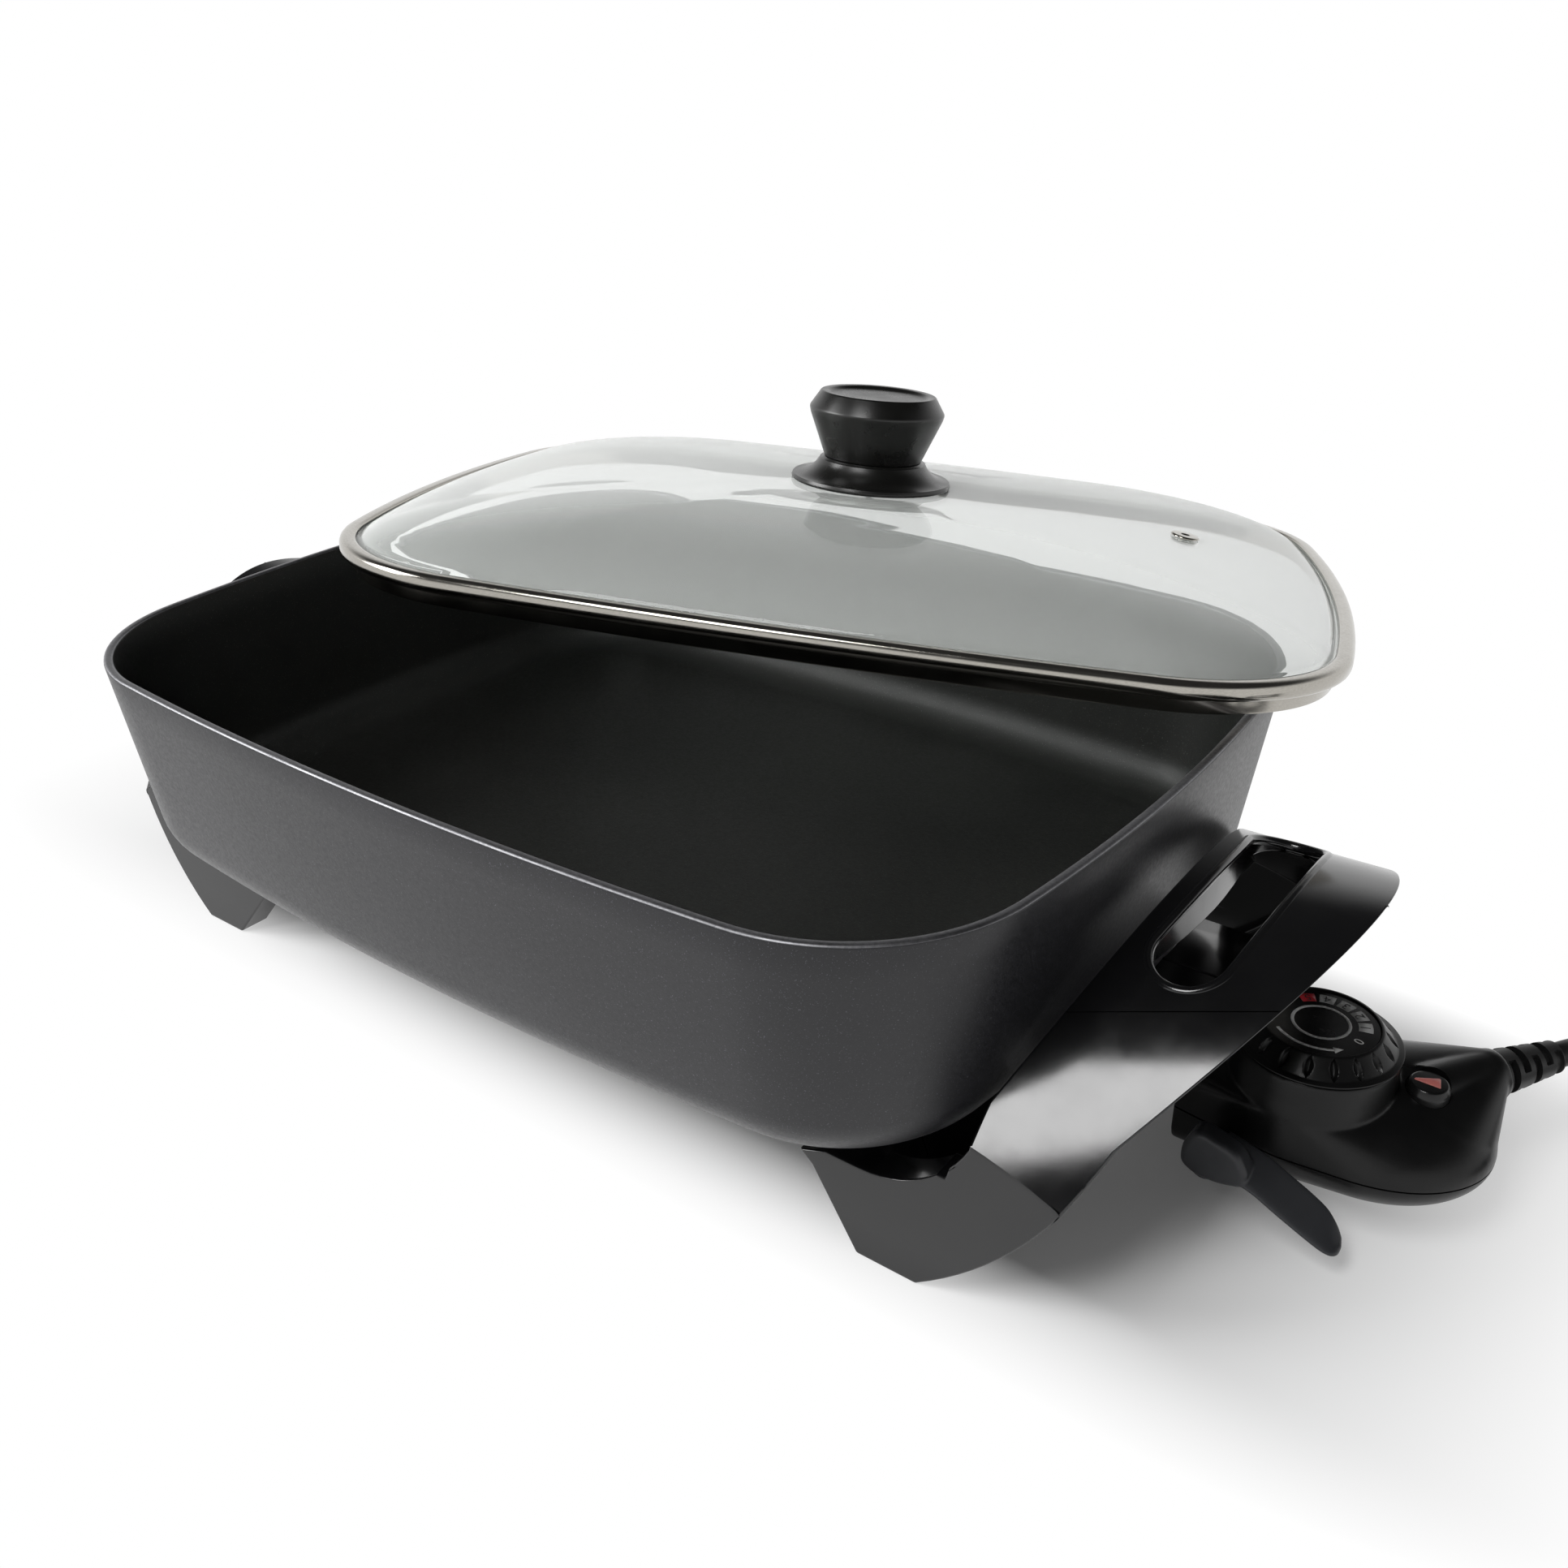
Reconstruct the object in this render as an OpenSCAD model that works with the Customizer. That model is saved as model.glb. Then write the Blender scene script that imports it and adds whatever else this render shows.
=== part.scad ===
// Electric skillet: deep rectangular pan on two moulded end pieces, lift-off glass lid, plug-in heat control
// Frame: origin on the worktop under the middle of the pan, +X towards the control, +Z up, millimetres

/* [Pan] */
// Length of the pan over its rim
pan_l = 400; // [380:1:430]
// Width of the pan over its rim
pan_w = 310; // [290:1:330]
// Radius of the rim's corners
pan_corner_r = 66; // [58:1:74]
// Plan radius of the two bowed end walls
pan_end_bow = 735; // [600:5:1200]
// Plan radius of the two bowed long walls
pan_side_bow = 1490; // [1200:10:2400]
// Height of the rim above the worktop
rim_z = 130; // [122:1:140]
// Height of the underside of the base
base_z = 46; // [44:0.5:50]
// How far the walls lean in for each mm of depth
wall_lean = 0.13; // [0.08:0.01:0.16]
// Thickness of the walls
wall_t = 3.5; // [2.5:0.1:5]
// Thickness of the base
base_t = 6; // [5:0.5:8]
// Outer radius between wall and base
base_edge_r = 22; // [16:1:26]
// Diameter of the cast bosses under the base
boss_d = 14; // [12:0.5:18]

/* [End pieces] */
// Air gap between the middle of the handle's inner edge and the pan's end wall
end_gap = 8; // [7:0.5:10]
// Radius of the bow of the handle's inner edge
end_bow = 400; // [380:10:600]
// Wall thickness of the moulding
end_t = 3.5; // [2.5:0.1:4.5]
// Depth of the moulding's edge flange
flange_d = 12; // [8:1:16]
// Distance of a foot's outer face from the pan's side, at the worktop
leg_setback = 43.2; // [38:0.1:50]
// How far a leg leans in for each mm of height
leg_lean = 0.13; // [0.1:0.01:0.15]
// Length of a foot along the pan
foot_l = 21.6; // [16:0.1:28]
// Distance of a foot's outer end from the pan's end
foot_x = 23.8; // [20:0.1:28]
// Height of the crease between leg and shoulder
crease_z = 60.5; // [56:0.5:66]
// Distance of the crease's outer end beyond the pan's end
crease_x = 25; // [20:0.5:30]
// Radius of a leg's outer edge
leg_arc_r = 128; // [100:1:160]
// Rise of the shoulder for each mm towards the middle
shoulder_rise = 0.59; // [0.54:0.01:0.64]
// Angle at which the handle's crown rises outwards
crown_rise = 6.2; // [4:0.1:8]
// Height of the crown at its inner edge
crown_z = 102; // [99:0.2:105]
// Distance of the handle's tip beyond the pan's end
tip_x = 63; // [58:0.5:68]
// Width of the finger slot
slot_w = 23.5; // [20:0.5:26]
// Length of the finger slot
slot_l = 100; // [88:1:104]
// Corner radius of the finger slot
slot_r = 11.5; // [7:0.5:11.5]
// Distance of the slot's inner side beyond the pan's end
slot_x = 12.5; // [11:0.5:14]
// Radius of the bow of the finger slot
slot_bow = 230; // [200:10:500]
// Depth of the collar round the finger slot
collar_d = 14; // [8:0.5:18]
// Radius of the cut-out above a foot
cutout_r = 38; // [30:0.5:42]
// Height of the shelf that is screwed to the pan
shelf_z = 30; // [28:0.5:31]
// Thickness of the shelf
shelf_t = 3.5; // [2.5:0.1:5]
// Distance of the fixing screws from the pan's end
fix_x = 50; // [46:0.5:54]
// Distance of the fixing screws from the pan's middle line
fix_y = 75; // [64:1:84]

/* [Heating] */
// Radius of the heating element's tube
el_r = 3.6; // [3:0.1:4.2]
// Half length of the element's loop
el_hx = 115; // [100:1:120]
// Half width of the element's loop
el_hy = 85; // [70:1:95]
// Bend radius of the element's corners
el_bend = 30; // [24:1:36]
// Distance of each terminal from the middle line
pin_y = 12.5; // [12:0.1:14]
// Radius of a terminal pin
pin_r = 2.5; // [2:0.1:3]
// Height of the terminals and the sensor probe
probe_z = 30; // [29:0.5:32]
// Radius of the sensor probe
probe_r = 4; // [3.5:0.1:4.5]

/* [Lid] */
// Length of the lid over its ring
lid_l = 400; // [390:1:412]
// Width of the lid over its ring
lid_w = 314; // [304:1:322]
// Corner radius of the lid
lid_corner_r = 73; // [66:1:80]
// Plan radius of the lid's bowed ends
lid_end_bow = 637; // [560:1:900]
// Plan radius of the lid's bowed long sides
lid_side_bow = 1856; // [1400:1:2400]
// Height of the glass's middle surface above the ring
crown_h = 24; // [20:0.5:28]
// Thickness of the glass
glass_t = 4; // [3:0.1:4.5]
// Depth of the ring's skirt below its middle plane
skirt_d = 9; // [7:0.5:10]
// Largest radius of the knob's grip
grip_r = 28.3; // [25:0.1:31]
// Radius of the knob's neck
neck_r = 20.6; // [17:0.1:23]
// Radius of the knob's collar
collar_r = 33.8; // [30:0.1:36]
// Height of the knob above its seat
knob_h = 37; // [32:0.5:42]
// Distance of the steam vent from the knob
vent_x = 132; // [110:1:145]
// Radius of the steam vent's flange
vent_r = 6; // [4.5:0.1:7]

/* [Heat control] */
// Distance of the dial's axis beyond the pan's end
dial_x = 50.5; // [49:0.5:56]
// Half width of the housing's round end
lobe_r = 33; // [31:0.5:35]
// Height of the parting line of the housing
part_z = 26.5; // [26:0.5:27.5]
// Wall thickness of the housing
shell_t = 2.5; // [2:0.1:3]
// Radius of the turret under the dial
turret_r = 25; // [24:0.1:26]
// Height of the turret's top
turret_z = 55.5; // [53:0.5:58]
// Radius of the dial's skirt
dial_r = 25.2; // [24:0.1:26]
// Height of the dial
dial_h = 6.6; // [5.5:0.1:9]
// Radius of the printed disc on the dial
disc_r = 17.4; // [15:0.1:18]
// Number of finger scallops round the dial
scallops = 18; // [12:1:24]
// Radius of the dial's spindle
spindle_r = 3; // [2.5:0.1:3.5]
// Radius of the pilot light's bezel
bezel_r = 6.6; // [6:0.1:7.4]
// Width of the release lever's paddle
paddle_w = 12.5; // [10:0.5:14]

/* [Lead] */
// Diameter of the cord
cord_d = 8.2; // [7.4:0.1:8.4]
// Direction in which the cord leaves the control, from +X
cord_angle = 57; // [54:0.5:60]
// Length of the strain relief outside the control
relief_l = 23; // [22:0.5:25]
// Distance of the coil's outer turn from its middle
coil_r = 46; // [46:0.1:47]

/* [Hidden] */
$fn = 64;
// Clearances: seat between pieces that stay put, running fit of turning or sliding pieces, gap between bodies
seat = 0.1;
run = 0.05;
gap = 0.3;
// Length by which a cutting shape runs past what it cuts
over = 1;
end_x = pan_l / 2;
// Screws: shank and head radius, head height
screw_r = 2;
screw_head_r = 4;
screw_head_h = 2.4;
small_head_r = 3;

// Points of an arc about c, both ends included
function arc(c, r, a0, a1, n) =
  [for (i = [0:n]) let (a = a0 + (a1 - a0) * i / n) [c[0] + r * cos(a), c[1] + r * sin(a)]];

// Arc of radius r from p to q, bulging to the right of the way from p to q
function arc_between(p, q, r, n) =
  let (
    d = q - p,
    l = norm(d),
    c = (p + q) / 2 + [-d[1], d[0]] / l * sqrt(r * r - l * l / 4),
    a0 = atan2(p[1] - c[1], p[0] - c[0]),
    a1 = atan2(q[1] - c[1], q[0] - c[0])
  ) arc(c, r, a0, a1, n);

// Meeting point of two circles, on the left of the way from c1 to c2
function circle_meet(c1, r1, c2, r2) =
  let (
    d = c2 - c1,
    l = norm(d),
    k = (l * l + r1 * r1 - r2 * r2) / (2 * l),
    h = sqrt(r1 * r1 - k * k)
  ) c1 + d / l * k + [-d[1], d[0]] / l * h;

// Rounded rectangle with bowed sides, inset by d
// shape = [half length, half width, corner radius, end bow, side bow]
outline_n = [5, 10, 7];
function quarter(s, d) =
  let (
    c_end = [s[0] - s[3], 0],
    c_side = [0, s[1] - s[4]],
    c = circle_meet(c_end, s[3] - s[2], c_side, s[4] - s[2]),
    a_end = atan2(c[1], c[0] - c_end[0]),
    a_side = atan2(c[1] - c_side[1], c[0]),
    corner = arc(c, s[2] - d, a_end, a_side, outline_n[1])
  ) concat(
    [for (i = [0:outline_n[0] - 1]) arc(c_end, s[3] - d, 0, a_end, outline_n[0])[i]],
    [for (i = [0:outline_n[1] - 1]) corner[i]],
    arc(c_side, s[4] - d, a_side, 90, outline_n[2])
  );
function outline(s, d) =
  let (q = quarter(s, d), n = len(q)) concat(
    q,
    [for (i = [n - 2:-1:0]) [-q[i][0], q[i][1]]],
    [for (i = [1:n - 1]) [-q[i][0], -q[i][1]]],
    [for (i = [n - 2:-1:1]) [q[i][0], -q[i][1]]]
  );
function at_z(points, z) = [for (p = points) [p[0], p[1], z]];

// Solid through a row of rings of points; a closed row comes back to its first ring
module loft(rings, closed = false) {
  m = len(rings[0]);
  k = len(rings);
  rows = closed ? k : k - 1;
  sides = [
    for (j = [0:rows - 1], i = [0:m - 1])
      let (a = j * m, b = (j + 1) % k * m, n = (i + 1) % m)
        each [[a + i, b + i, b + n], [a + i, b + n, a + n]]
  ];
  caps = closed ? [] : [[for (i = [0:m - 1]) i], [for (i = [m - 1:-1:0]) (k - 1) * m + i]];
  polyhedron(points = [for (r = rings) each r], faces = concat(sides, caps), convexity = 6);
}

// Rectangle with round corners, centred
module rounded_rect(l, w, r) {
  square([l - 2 * r, w], center = true);
  square([l, w - 2 * r], center = true);
  for (x = [-1, 1], y = [-1, 1])
    translate([x * (l / 2 - r), y * (w / 2 - r)]) circle(r);
}

// Screw that points up, with the underside of its head at the origin
module screw(length) {
  translate([0, 0, -screw_head_h]) cylinder(r = screw_head_r, h = screw_head_h);
  cylinder(r = screw_r, h = length);
}

// PAN
pan_shape = [end_x, pan_w / 2, pan_corner_r, pan_end_bow, pan_side_bow];
floor_z = base_z + base_t;
rim_edge = 0.8;
inner_edge_r = base_edge_r - wall_t;
edge_n = 5;
// Inset of the leaning wall at a height
function wall_inset(z) = wall_lean * (rim_z - z);
// Rounded edge of radius r that runs from a floor at height z0 into a wall inset by w more: [inset, height]
function edge_rings(r, z0, w) =
  let (
    a1 = -atan(wall_lean),
    zc = z0 + r,
    ic = r * cos(a1) + w + wall_inset(zc + r * sin(a1))
  ) [for (i = [0:edge_n]) let (a = -90 + (a1 + 90) * i / edge_n) [ic - r * cos(a), zc + r * sin(a)]];
function reversed(v) = [for (i = [len(v) - 1:-1:0]) v[i]];
pan_rows = concat(
  edge_rings(base_edge_r, base_z, 0),
  [[wall_inset(rim_z - rim_edge), rim_z - rim_edge], [rim_edge, rim_z], [wall_t - rim_edge, rim_z]],
  [[wall_t + wall_inset(rim_z - rim_edge), rim_z - rim_edge]],
  reversed(edge_rings(inner_edge_r, floor_z, wall_t))
);
base_flat_x = end_x - pan_rows[0][0];
fix_places = [for (x = [-1, 1], y = [-1, 1]) [x * (end_x - fix_x), y * fix_y]];
fix_bore_top = base_z + base_t - 1.8;
tab_end = 6.5;
guard_fix = [for (y = [-1, 1]) [base_flat_x - tab_end, y * 29]];
module pan() {
  color("#3a3b3f") difference() {
    union() {
      loft([for (r = pan_rows) at_z(outline(pan_shape, r[0]), r[1])]);
      for (p = fix_places)
        translate([p[0], p[1], shelf_z]) cylinder(d = boss_d, h = base_z - shelf_z + over);
    }
    for (p = fix_places)
      translate([p[0], p[1], shelf_z - over]) cylinder(r = screw_r + seat, h = fix_bore_top - shelf_z + over);
    for (p = guard_fix)
      translate([p[0], p[1], base_z - over]) cylinder(r = screw_r + seat, h = fix_bore_top - base_z + over);
  }
}

// END PIECES: handle and two legs in one moulding
leg_foot_y = pan_w / 2 - leg_setback;
crease_y = leg_foot_y - leg_lean * crease_z;
ridge_z = crease_z + shoulder_rise * crease_y;
shoulder_k = sqrt(1 + shoulder_rise * shoulder_rise);
crown_in_x = end_x + 3;
tip_z = crown_z + (end_x + tip_x - crown_in_x) * tan(crown_rise);
// Cone that rounds the crown and touches both shoulders: tilt of its axis, half angle, vertex
cone_tilt = atan2(sin(crown_rise), cos(crown_rise) - 1 / shoulder_k);
cone_half = cone_tilt - crown_rise;
cone_x = crown_in_x + (ridge_z - crown_z) / tan(crown_rise);
cone_h = 2 * (cone_x - end_x);
// Front view of the arch, its surface moved in by t
module arch_profile(t) {
  y0 = leg_foot_y - t * sqrt(1 + leg_lean * leg_lean);
  top = ridge_z - t * shoulder_k;
  zc = (top - shoulder_rise * y0) / (1 - shoulder_rise * leg_lean);
  yc = y0 - leg_lean * zc;
  low = y0 + leg_lean * t;
  polygon([[-low, -t], [low, -t], [yc, zc], [0, top], [-yc, zc]]);
}
module arch_prism(t) {
  translate([end_x - 100 - t, 0, 0]) rotate([90, 0, 90]) linear_extrude(200 + 2 * t) arch_profile(t);
}
// Arch, its surface moved in by t
module arch(t) {
  intersection() {
    arch_prism(t);
    translate([cone_x, 0, ridge_z]) rotate([0, -90 - cone_tilt, 0]) translate([0, 0, t / sin(cone_half)])
      cylinder(h = cone_h, r1 = 0, r2 = cone_h * tan(cone_half), $fn = 180);
  }
}
// Half size of blocks that cut all on one side of a plane
reach = 200;
// Hollow under the arch, t in from its sides and with a ceiling that follows the crown at a depth
module hollow(t, depth) {
  intersection() {
    arch(t);
    translate([crown_in_x, 0, crown_z - depth]) rotate([0, -crown_rise, 0]) translate(-reach * [1, 1, 1])
      cube(reach * [2, 2, 1]);
  }
}
// Side view: foot, leg's round outer edge, handle's outer edge, inner edge and the cut-out above the foot
leg_top_x = 69.2;
leg_top_z = 26.6;
leg_chamfer = [5, 3.5];
cutout_x = fix_x - 3;
cutout_a = 24;
cutout_z = shelf_z + cutout_r;
module side_view() {
  cut = arc([end_x - cutout_x, cutout_z], cutout_r, -cutout_a, -90, 12);
  polygon(concat(
    [[end_x - foot_x - foot_l, 0]],
    arc_between([end_x - foot_x, 0], [end_x + crease_x, crease_z], leg_arc_r, 14),
    [[end_x + tip_x, tip_z], [end_x + tip_x, tip_z + 20], [cut[0][0], tip_z + 20]],
    cut,
    [[end_x - leg_top_x + 10, shelf_z], [end_x - leg_top_x, leg_top_z]],
    [[end_x - leg_top_x + leg_chamfer[0], leg_top_z - leg_chamfer[1]]]
  ));
}
module across(w) {
  rotate([90, 0, 0]) linear_extrude(w, center = true) children();
}
slot_mid = end_x + slot_x + slot_w / 2;
// Plan of the finger slot, its outline moved out by t
module slot_plan(t) {
  offset(r = slot_r + t, $fn = 64) offset(delta = -slot_r) intersection() {
    translate([slot_mid, 0]) square([2 * slot_w, slot_l], center = true);
    translate([slot_mid + slot_w / 2 - slot_bow, 0]) difference() {
      circle(r = slot_bow, $fn = 160);
      translate([-slot_w, 0]) circle(r = slot_bow, $fn = 160);
    }
  }
}
shelf_y = 45;
ceiling_d = 10;
// Cone that keeps the end piece off the pan's end wall
wall_cut_z = shelf_z + 10;
function inner_r(z) = end_bow - wall_inset(z);
module end_piece() {
  color("#121214") difference() {
    union() {
      difference() {
        intersection() {
          arch(0);
          across(pan_w) side_view();
        }
        intersection() {
          hollow(end_t, ceiling_d);
          across(pan_w) offset(delta = -end_t) side_view();
        }
        hollow(flange_d, collar_d);
      }
      intersection() {
        arch(0);
        translate([0, 0, crown_z - collar_d]) linear_extrude(60) slot_plan(end_t);
      }
      intersection() {
        arch_prism(end_t / 2);
        across(pan_w) side_view();
        for (y = [-1, 1])
          translate([end_x - leg_top_x, y > 0 ? shelf_y : -shelf_y - 100, shelf_z - shelf_t])
            cube([leg_top_x - foot_x, 100, shelf_t]);
      }
    }
    linear_extrude(200) slot_plan(0);
    translate([end_x + end_gap - end_bow, 0, wall_cut_z])
      cylinder(h = rim_z - wall_cut_z, r1 = inner_r(wall_cut_z), r2 = inner_r(rim_z), $fn = 240);
    for (y = [-1, 1])
      translate([end_x - fix_x, y * fix_y, 0]) cylinder(r = screw_r + seat, h = shelf_z + over);
  }
}
module end_piece_right() {
  end_piece();
}
module end_piece_left() {
  mirror([1, 0, 0]) end_piece();
}
module end_piece_screws() {
  color("#8a8c90") for (p = fix_places)
    translate([p[0], p[1], shelf_z - shelf_t]) screw(fix_bore_top - shelf_z + shelf_t - over);
}

// HEATING: tube under the base, flat on top where it lies against the base
el_flat = 0.8 * el_r;
el_z = base_z - el_flat;
tail_bend = (el_z - probe_z) / 2;
tail_turn = 20;
tail_x0 = el_hx + tail_turn + 5;
guard_t = 2;
guard_in = 14;
guard_x = end_x - guard_in;
bush_l = 6;
module element_section() {
  difference() {
    circle(el_r);
    translate([-el_r, el_flat]) square([2 * el_r, el_r]);
  }
}
module element_arc(c, r, a) {
  translate([c[0], c[1], el_z]) rotate([0, 0, a])
    rotate_extrude(angle = 90) translate([r, 0]) element_section();
}
module element_along_x(x0, x1, y) {
  translate([x0, y, el_z]) rotate([90, 0, 90]) linear_extrude(x1 - x0) element_section();
}
module element_along_y(x, y0, y1) {
  translate([x, y1, el_z]) rotate([90, 0, 0]) linear_extrude(y1 - y0) element_section();
}
module heating_element() {
  sx = el_hx - el_bend;
  sy = el_hy - el_bend;
  color("#6d6e70") {
    for (y = [-1, 1]) element_along_x(-sx, sx, y * el_hy);
    element_along_y(-el_hx, -sy, sy);
    element_arc([sx, sy], el_bend, 0);
    element_arc([-sx, sy], el_bend, 90);
    element_arc([-sx, -sy], el_bend, 180);
    element_arc([sx, -sy], el_bend, 270);
    element_along_y(el_hx, pin_y + tail_turn, sy);
    element_along_y(el_hx, -sy, -pin_y - tail_turn);
    element_arc([el_hx + tail_turn, pin_y + tail_turn], tail_turn, 180);
    element_arc([el_hx + tail_turn, -pin_y - tail_turn], tail_turn, 90);
    for (y = [-pin_y, pin_y]) {
      element_along_x(el_hx + tail_turn, tail_x0, y);
      translate([tail_x0, y, el_z - tail_bend]) rotate([90, 0, 0])
        rotate_extrude(angle = 90) translate([tail_bend, 0]) circle(el_r);
      translate([tail_x0 + 2 * tail_bend, y, probe_z + tail_bend]) rotate([90, 180, 0])
        rotate_extrude(angle = 90) translate([tail_bend, 0]) circle(el_r);
      translate([tail_x0 + 2 * tail_bend, y, probe_z]) rotate([0, 90, 0])
        cylinder(r = el_r, h = guard_x - bush_l / 2 - tail_x0 - 2 * tail_bend);
    }
  }
}
nose_x = end_x + dial_x - 35;
pin_reach = 16;
module element_terminals() {
  x0 = guard_x - bush_l / 2;
  color("#b9bbbd") for (y = [-pin_y, pin_y])
    translate([x0, y, probe_z]) rotate([0, 90, 0]) {
      cylinder(r = pin_r, h = nose_x + pin_reach - x0 - pin_r);
      translate([0, 0, nose_x + pin_reach - x0 - pin_r]) cylinder(r1 = pin_r, r2 = pin_r / 2, h = pin_r);
    }
}
bush_r = pin_r + 3.5;
module terminal_bushes() {
  color("#d8d4c8") for (y = [-pin_y, pin_y])
    translate([guard_x, y, probe_z]) rotate([0, 90, 0]) difference() {
      union() {
        translate([0, 0, -bush_l / 2 + seat]) cylinder(r = bush_r - seat, h = bush_l + guard_t);
        translate([0, 0, guard_t]) cylinder(r = bush_r - seat + 1, h = bush_l / 2);
      }
      translate([0, 0, -bush_l]) cylinder(r = pin_r + seat, h = 3 * bush_l);
    }
}
guard_w = 76;
guard_low = 14;
tab_w = 18;
module terminal_guard() {
  color("#9a9c9f") difference() {
    union() {
      translate([guard_x, -guard_w / 2, guard_low]) cube([guard_t, guard_w, base_z - guard_low]);
      for (p = guard_fix)
        translate([p[0] - tab_end, p[1] - tab_w / 2, base_z - guard_t])
          cube([guard_x + guard_t - p[0] + tab_end, tab_w, guard_t]);
    }
    for (y = [-pin_y, pin_y])
      translate([guard_x - over, y, probe_z]) rotate([0, 90, 0]) cylinder(r = bush_r, h = guard_t + 2 * over);
    translate([guard_x - over, 0, probe_z]) rotate([0, 90, 0])
      cylinder(r = probe_r + gap, h = guard_t + 2 * over);
    for (p = guard_fix)
      translate([p[0], p[1], base_z - guard_t - over]) cylinder(r = screw_r + seat, h = guard_t + 2 * over);
  }
}
module guard_screws() {
  color("#8a8c90") for (p = guard_fix)
    translate([p[0], p[1], base_z - guard_t]) screw(fix_bore_top - base_z + guard_t - over / 2);
}
well_in = 95;
well_x0 = end_x - well_in;
well_l = 78;
well_w = 15;
module probe_well() {
  color("#85878a") difference() {
    translate([well_x0, -well_w / 2, probe_z - well_w / 2])
      cube([well_l, well_w, base_z - probe_z + well_w / 2]);
    translate([well_x0 + 8, 0, probe_z]) rotate([0, 90, 0]) cylinder(r = probe_r + run, h = well_l);
  }
}

// LID: pieces in the lid's own frame, z = 0 in the ring's middle plane, then set down askew on the rim
// The middle of the ring's near side has one place, so a wider lid reaches further back
lid_near = [59.24, -22.5, rim_z + skirt_d + 12.24];
lid_turn = [-5.69, 3.4, 22.58];
lid_shape = [lid_l / 2, lid_w / 2, lid_corner_r, lid_end_bow, lid_side_bow];
module on_rim() {
  translate(lid_near) rotate(lid_turn) translate([0, lid_w / 2, 0]) children();
}
ring_t = 1;
glass_in = 3;
glass_flange = 5;
lip = glass_t / 2 + gap;
ring_w = 6.5;
ring_rows = [
  [0, 0], [0.9, lip], [glass_in, lip + ring_t], [ring_w - 0.2, lip + 0.7], [ring_w, lip],
  [glass_in - gap, lip], [glass_in - gap, -lip], [ring_w, -lip], [ring_w, -skirt_d], [ring_w - 1.2, -skirt_d],
  [ring_w - 1.5, -lip - ring_t], [glass_in - 0.4, -lip - ring_t], [0.8, -lip]
];
module lid_ring() {
  color("#b9b6b0") on_rim() loft([for (r = ring_rows) at_z(outline(lid_shape, r[0]), r[1])], closed = true);
}
// Height of the glass at a share s of the way from the middle to the flange
dome_p = 2.2;
dome_q = 0.625;
function dome(s) = crown_h * pow(1 - pow(s, dome_p), dome_q);
dome_s = [1, 0.97, 0.93, 0.87, 0.78, 0.66, 0.52, 0.38];
seat_r = 36;
knob_bore = 5;
glass_edge = outline(lid_shape, glass_in);
glass_rim = outline(lid_shape, glass_in + glass_flange);
function round_ring(r) =
  [for (p = glass_rim) let (a = atan2(p[1] / lid_w, p[0] / lid_l)) [r * cos(a), r * sin(a)]];
function glass_rows(dz) = concat(
  [at_z(glass_edge, dz)],
  [for (s = dome_s) at_z([for (p = glass_rim) p * s], dome(s) + dz)],
  [at_z(round_ring(seat_r), crown_h + dz), at_z(round_ring(knob_bore), crown_h + dz)]
);
vent_s = vent_x / (lid_l / 2 - glass_in - glass_flange);
vent_z = dome(vent_s);
vent_tilt = atan((dome(vent_s - 0.05) - dome(vent_s + 0.05)) / (0.1 * (lid_l / 2 - glass_in - glass_flange)));
module at_vent() {
  translate([vent_x, 0, vent_z]) rotate([0, vent_tilt, 0]) children();
}
vent_bore = vent_r / 2;
module lid_glass() {
  color("#c9d6d6", 0.45) on_rim() difference() {
    loft(concat(glass_rows(glass_t / 2), reversed(glass_rows(-glass_t / 2))), closed = true);
    at_vent() cylinder(r = vent_bore + gap, h = 4 * glass_t, center = true);
  }
}
module steam_vent() {
  lip_t = 0.8;
  reach = glass_t / 2 + gap;
  color("#c8c8c8") on_rim() at_vent() rotate_extrude() polygon([
    [vent_bore - 1.2, -reach - lip_t], [vent_r - 1, -reach - lip_t], [vent_r - 1, -reach],
    [vent_bore, -reach], [vent_bore, reach], [vent_r, reach], [vent_r - 0.5, reach + lip_t],
    [vent_bore - 1.2, reach + lip_t]
  ]);
}
knob_z = crown_h + glass_t / 2;
neck_z = knob_z + 0.27 * knob_h;
knob_top = knob_z + knob_h;
knob_screw_r = 2.5;
module knob_collar() {
  color("#161617") on_rim() rotate_extrude() polygon(concat(
    [[knob_screw_r + seat, knob_z], [collar_r - 0.6, knob_z], [collar_r, knob_z + 0.8]],
    [[collar_r - 0.6, knob_z + 2.2]],
    arc([collar_r - 0.6, knob_z + 2.2 + 12], 12, -95, -156, 8),
    [[neck_r, neck_z], [knob_screw_r + seat, neck_z]]
  ));
}
module knob_grip() {
  chamfer_z = knob_top - 0.19 * knob_h;
  color("#161617") on_rim() rotate_extrude() polygon([
    [knob_screw_r + seat, neck_z], [neck_r, neck_z], [grip_r - 0.5, chamfer_z - 2], [grip_r, chamfer_z],
    [grip_r - 4.5, knob_top], [grip_r - 8, knob_top - 0.4], [grip_r - 12, knob_top - 1.5],
    [0, knob_top - 2.2], [0, chamfer_z - 4], [knob_screw_r + seat, chamfer_z - 4]
  ]);
}
washer_t = 1.5;
washer_z = crown_h - glass_t / 2 - washer_t;
module knob_washer() {
  color("#2a2a2c") on_rim() translate([0, 0, washer_z]) difference() {
    cylinder(r = 12, h = washer_t);
    translate([0, 0, -over]) cylinder(r = knob_screw_r + seat, h = washer_t + 2 * over);
  }
}
module knob_screw() {
  color("#c0c0c2") on_rim() translate([0, 0, washer_z]) {
    translate([0, 0, -3]) cylinder(r = 5.5, h = 3);
    cylinder(r = knob_screw_r, h = neck_z + 10 - washer_z);
  }
}

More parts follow.
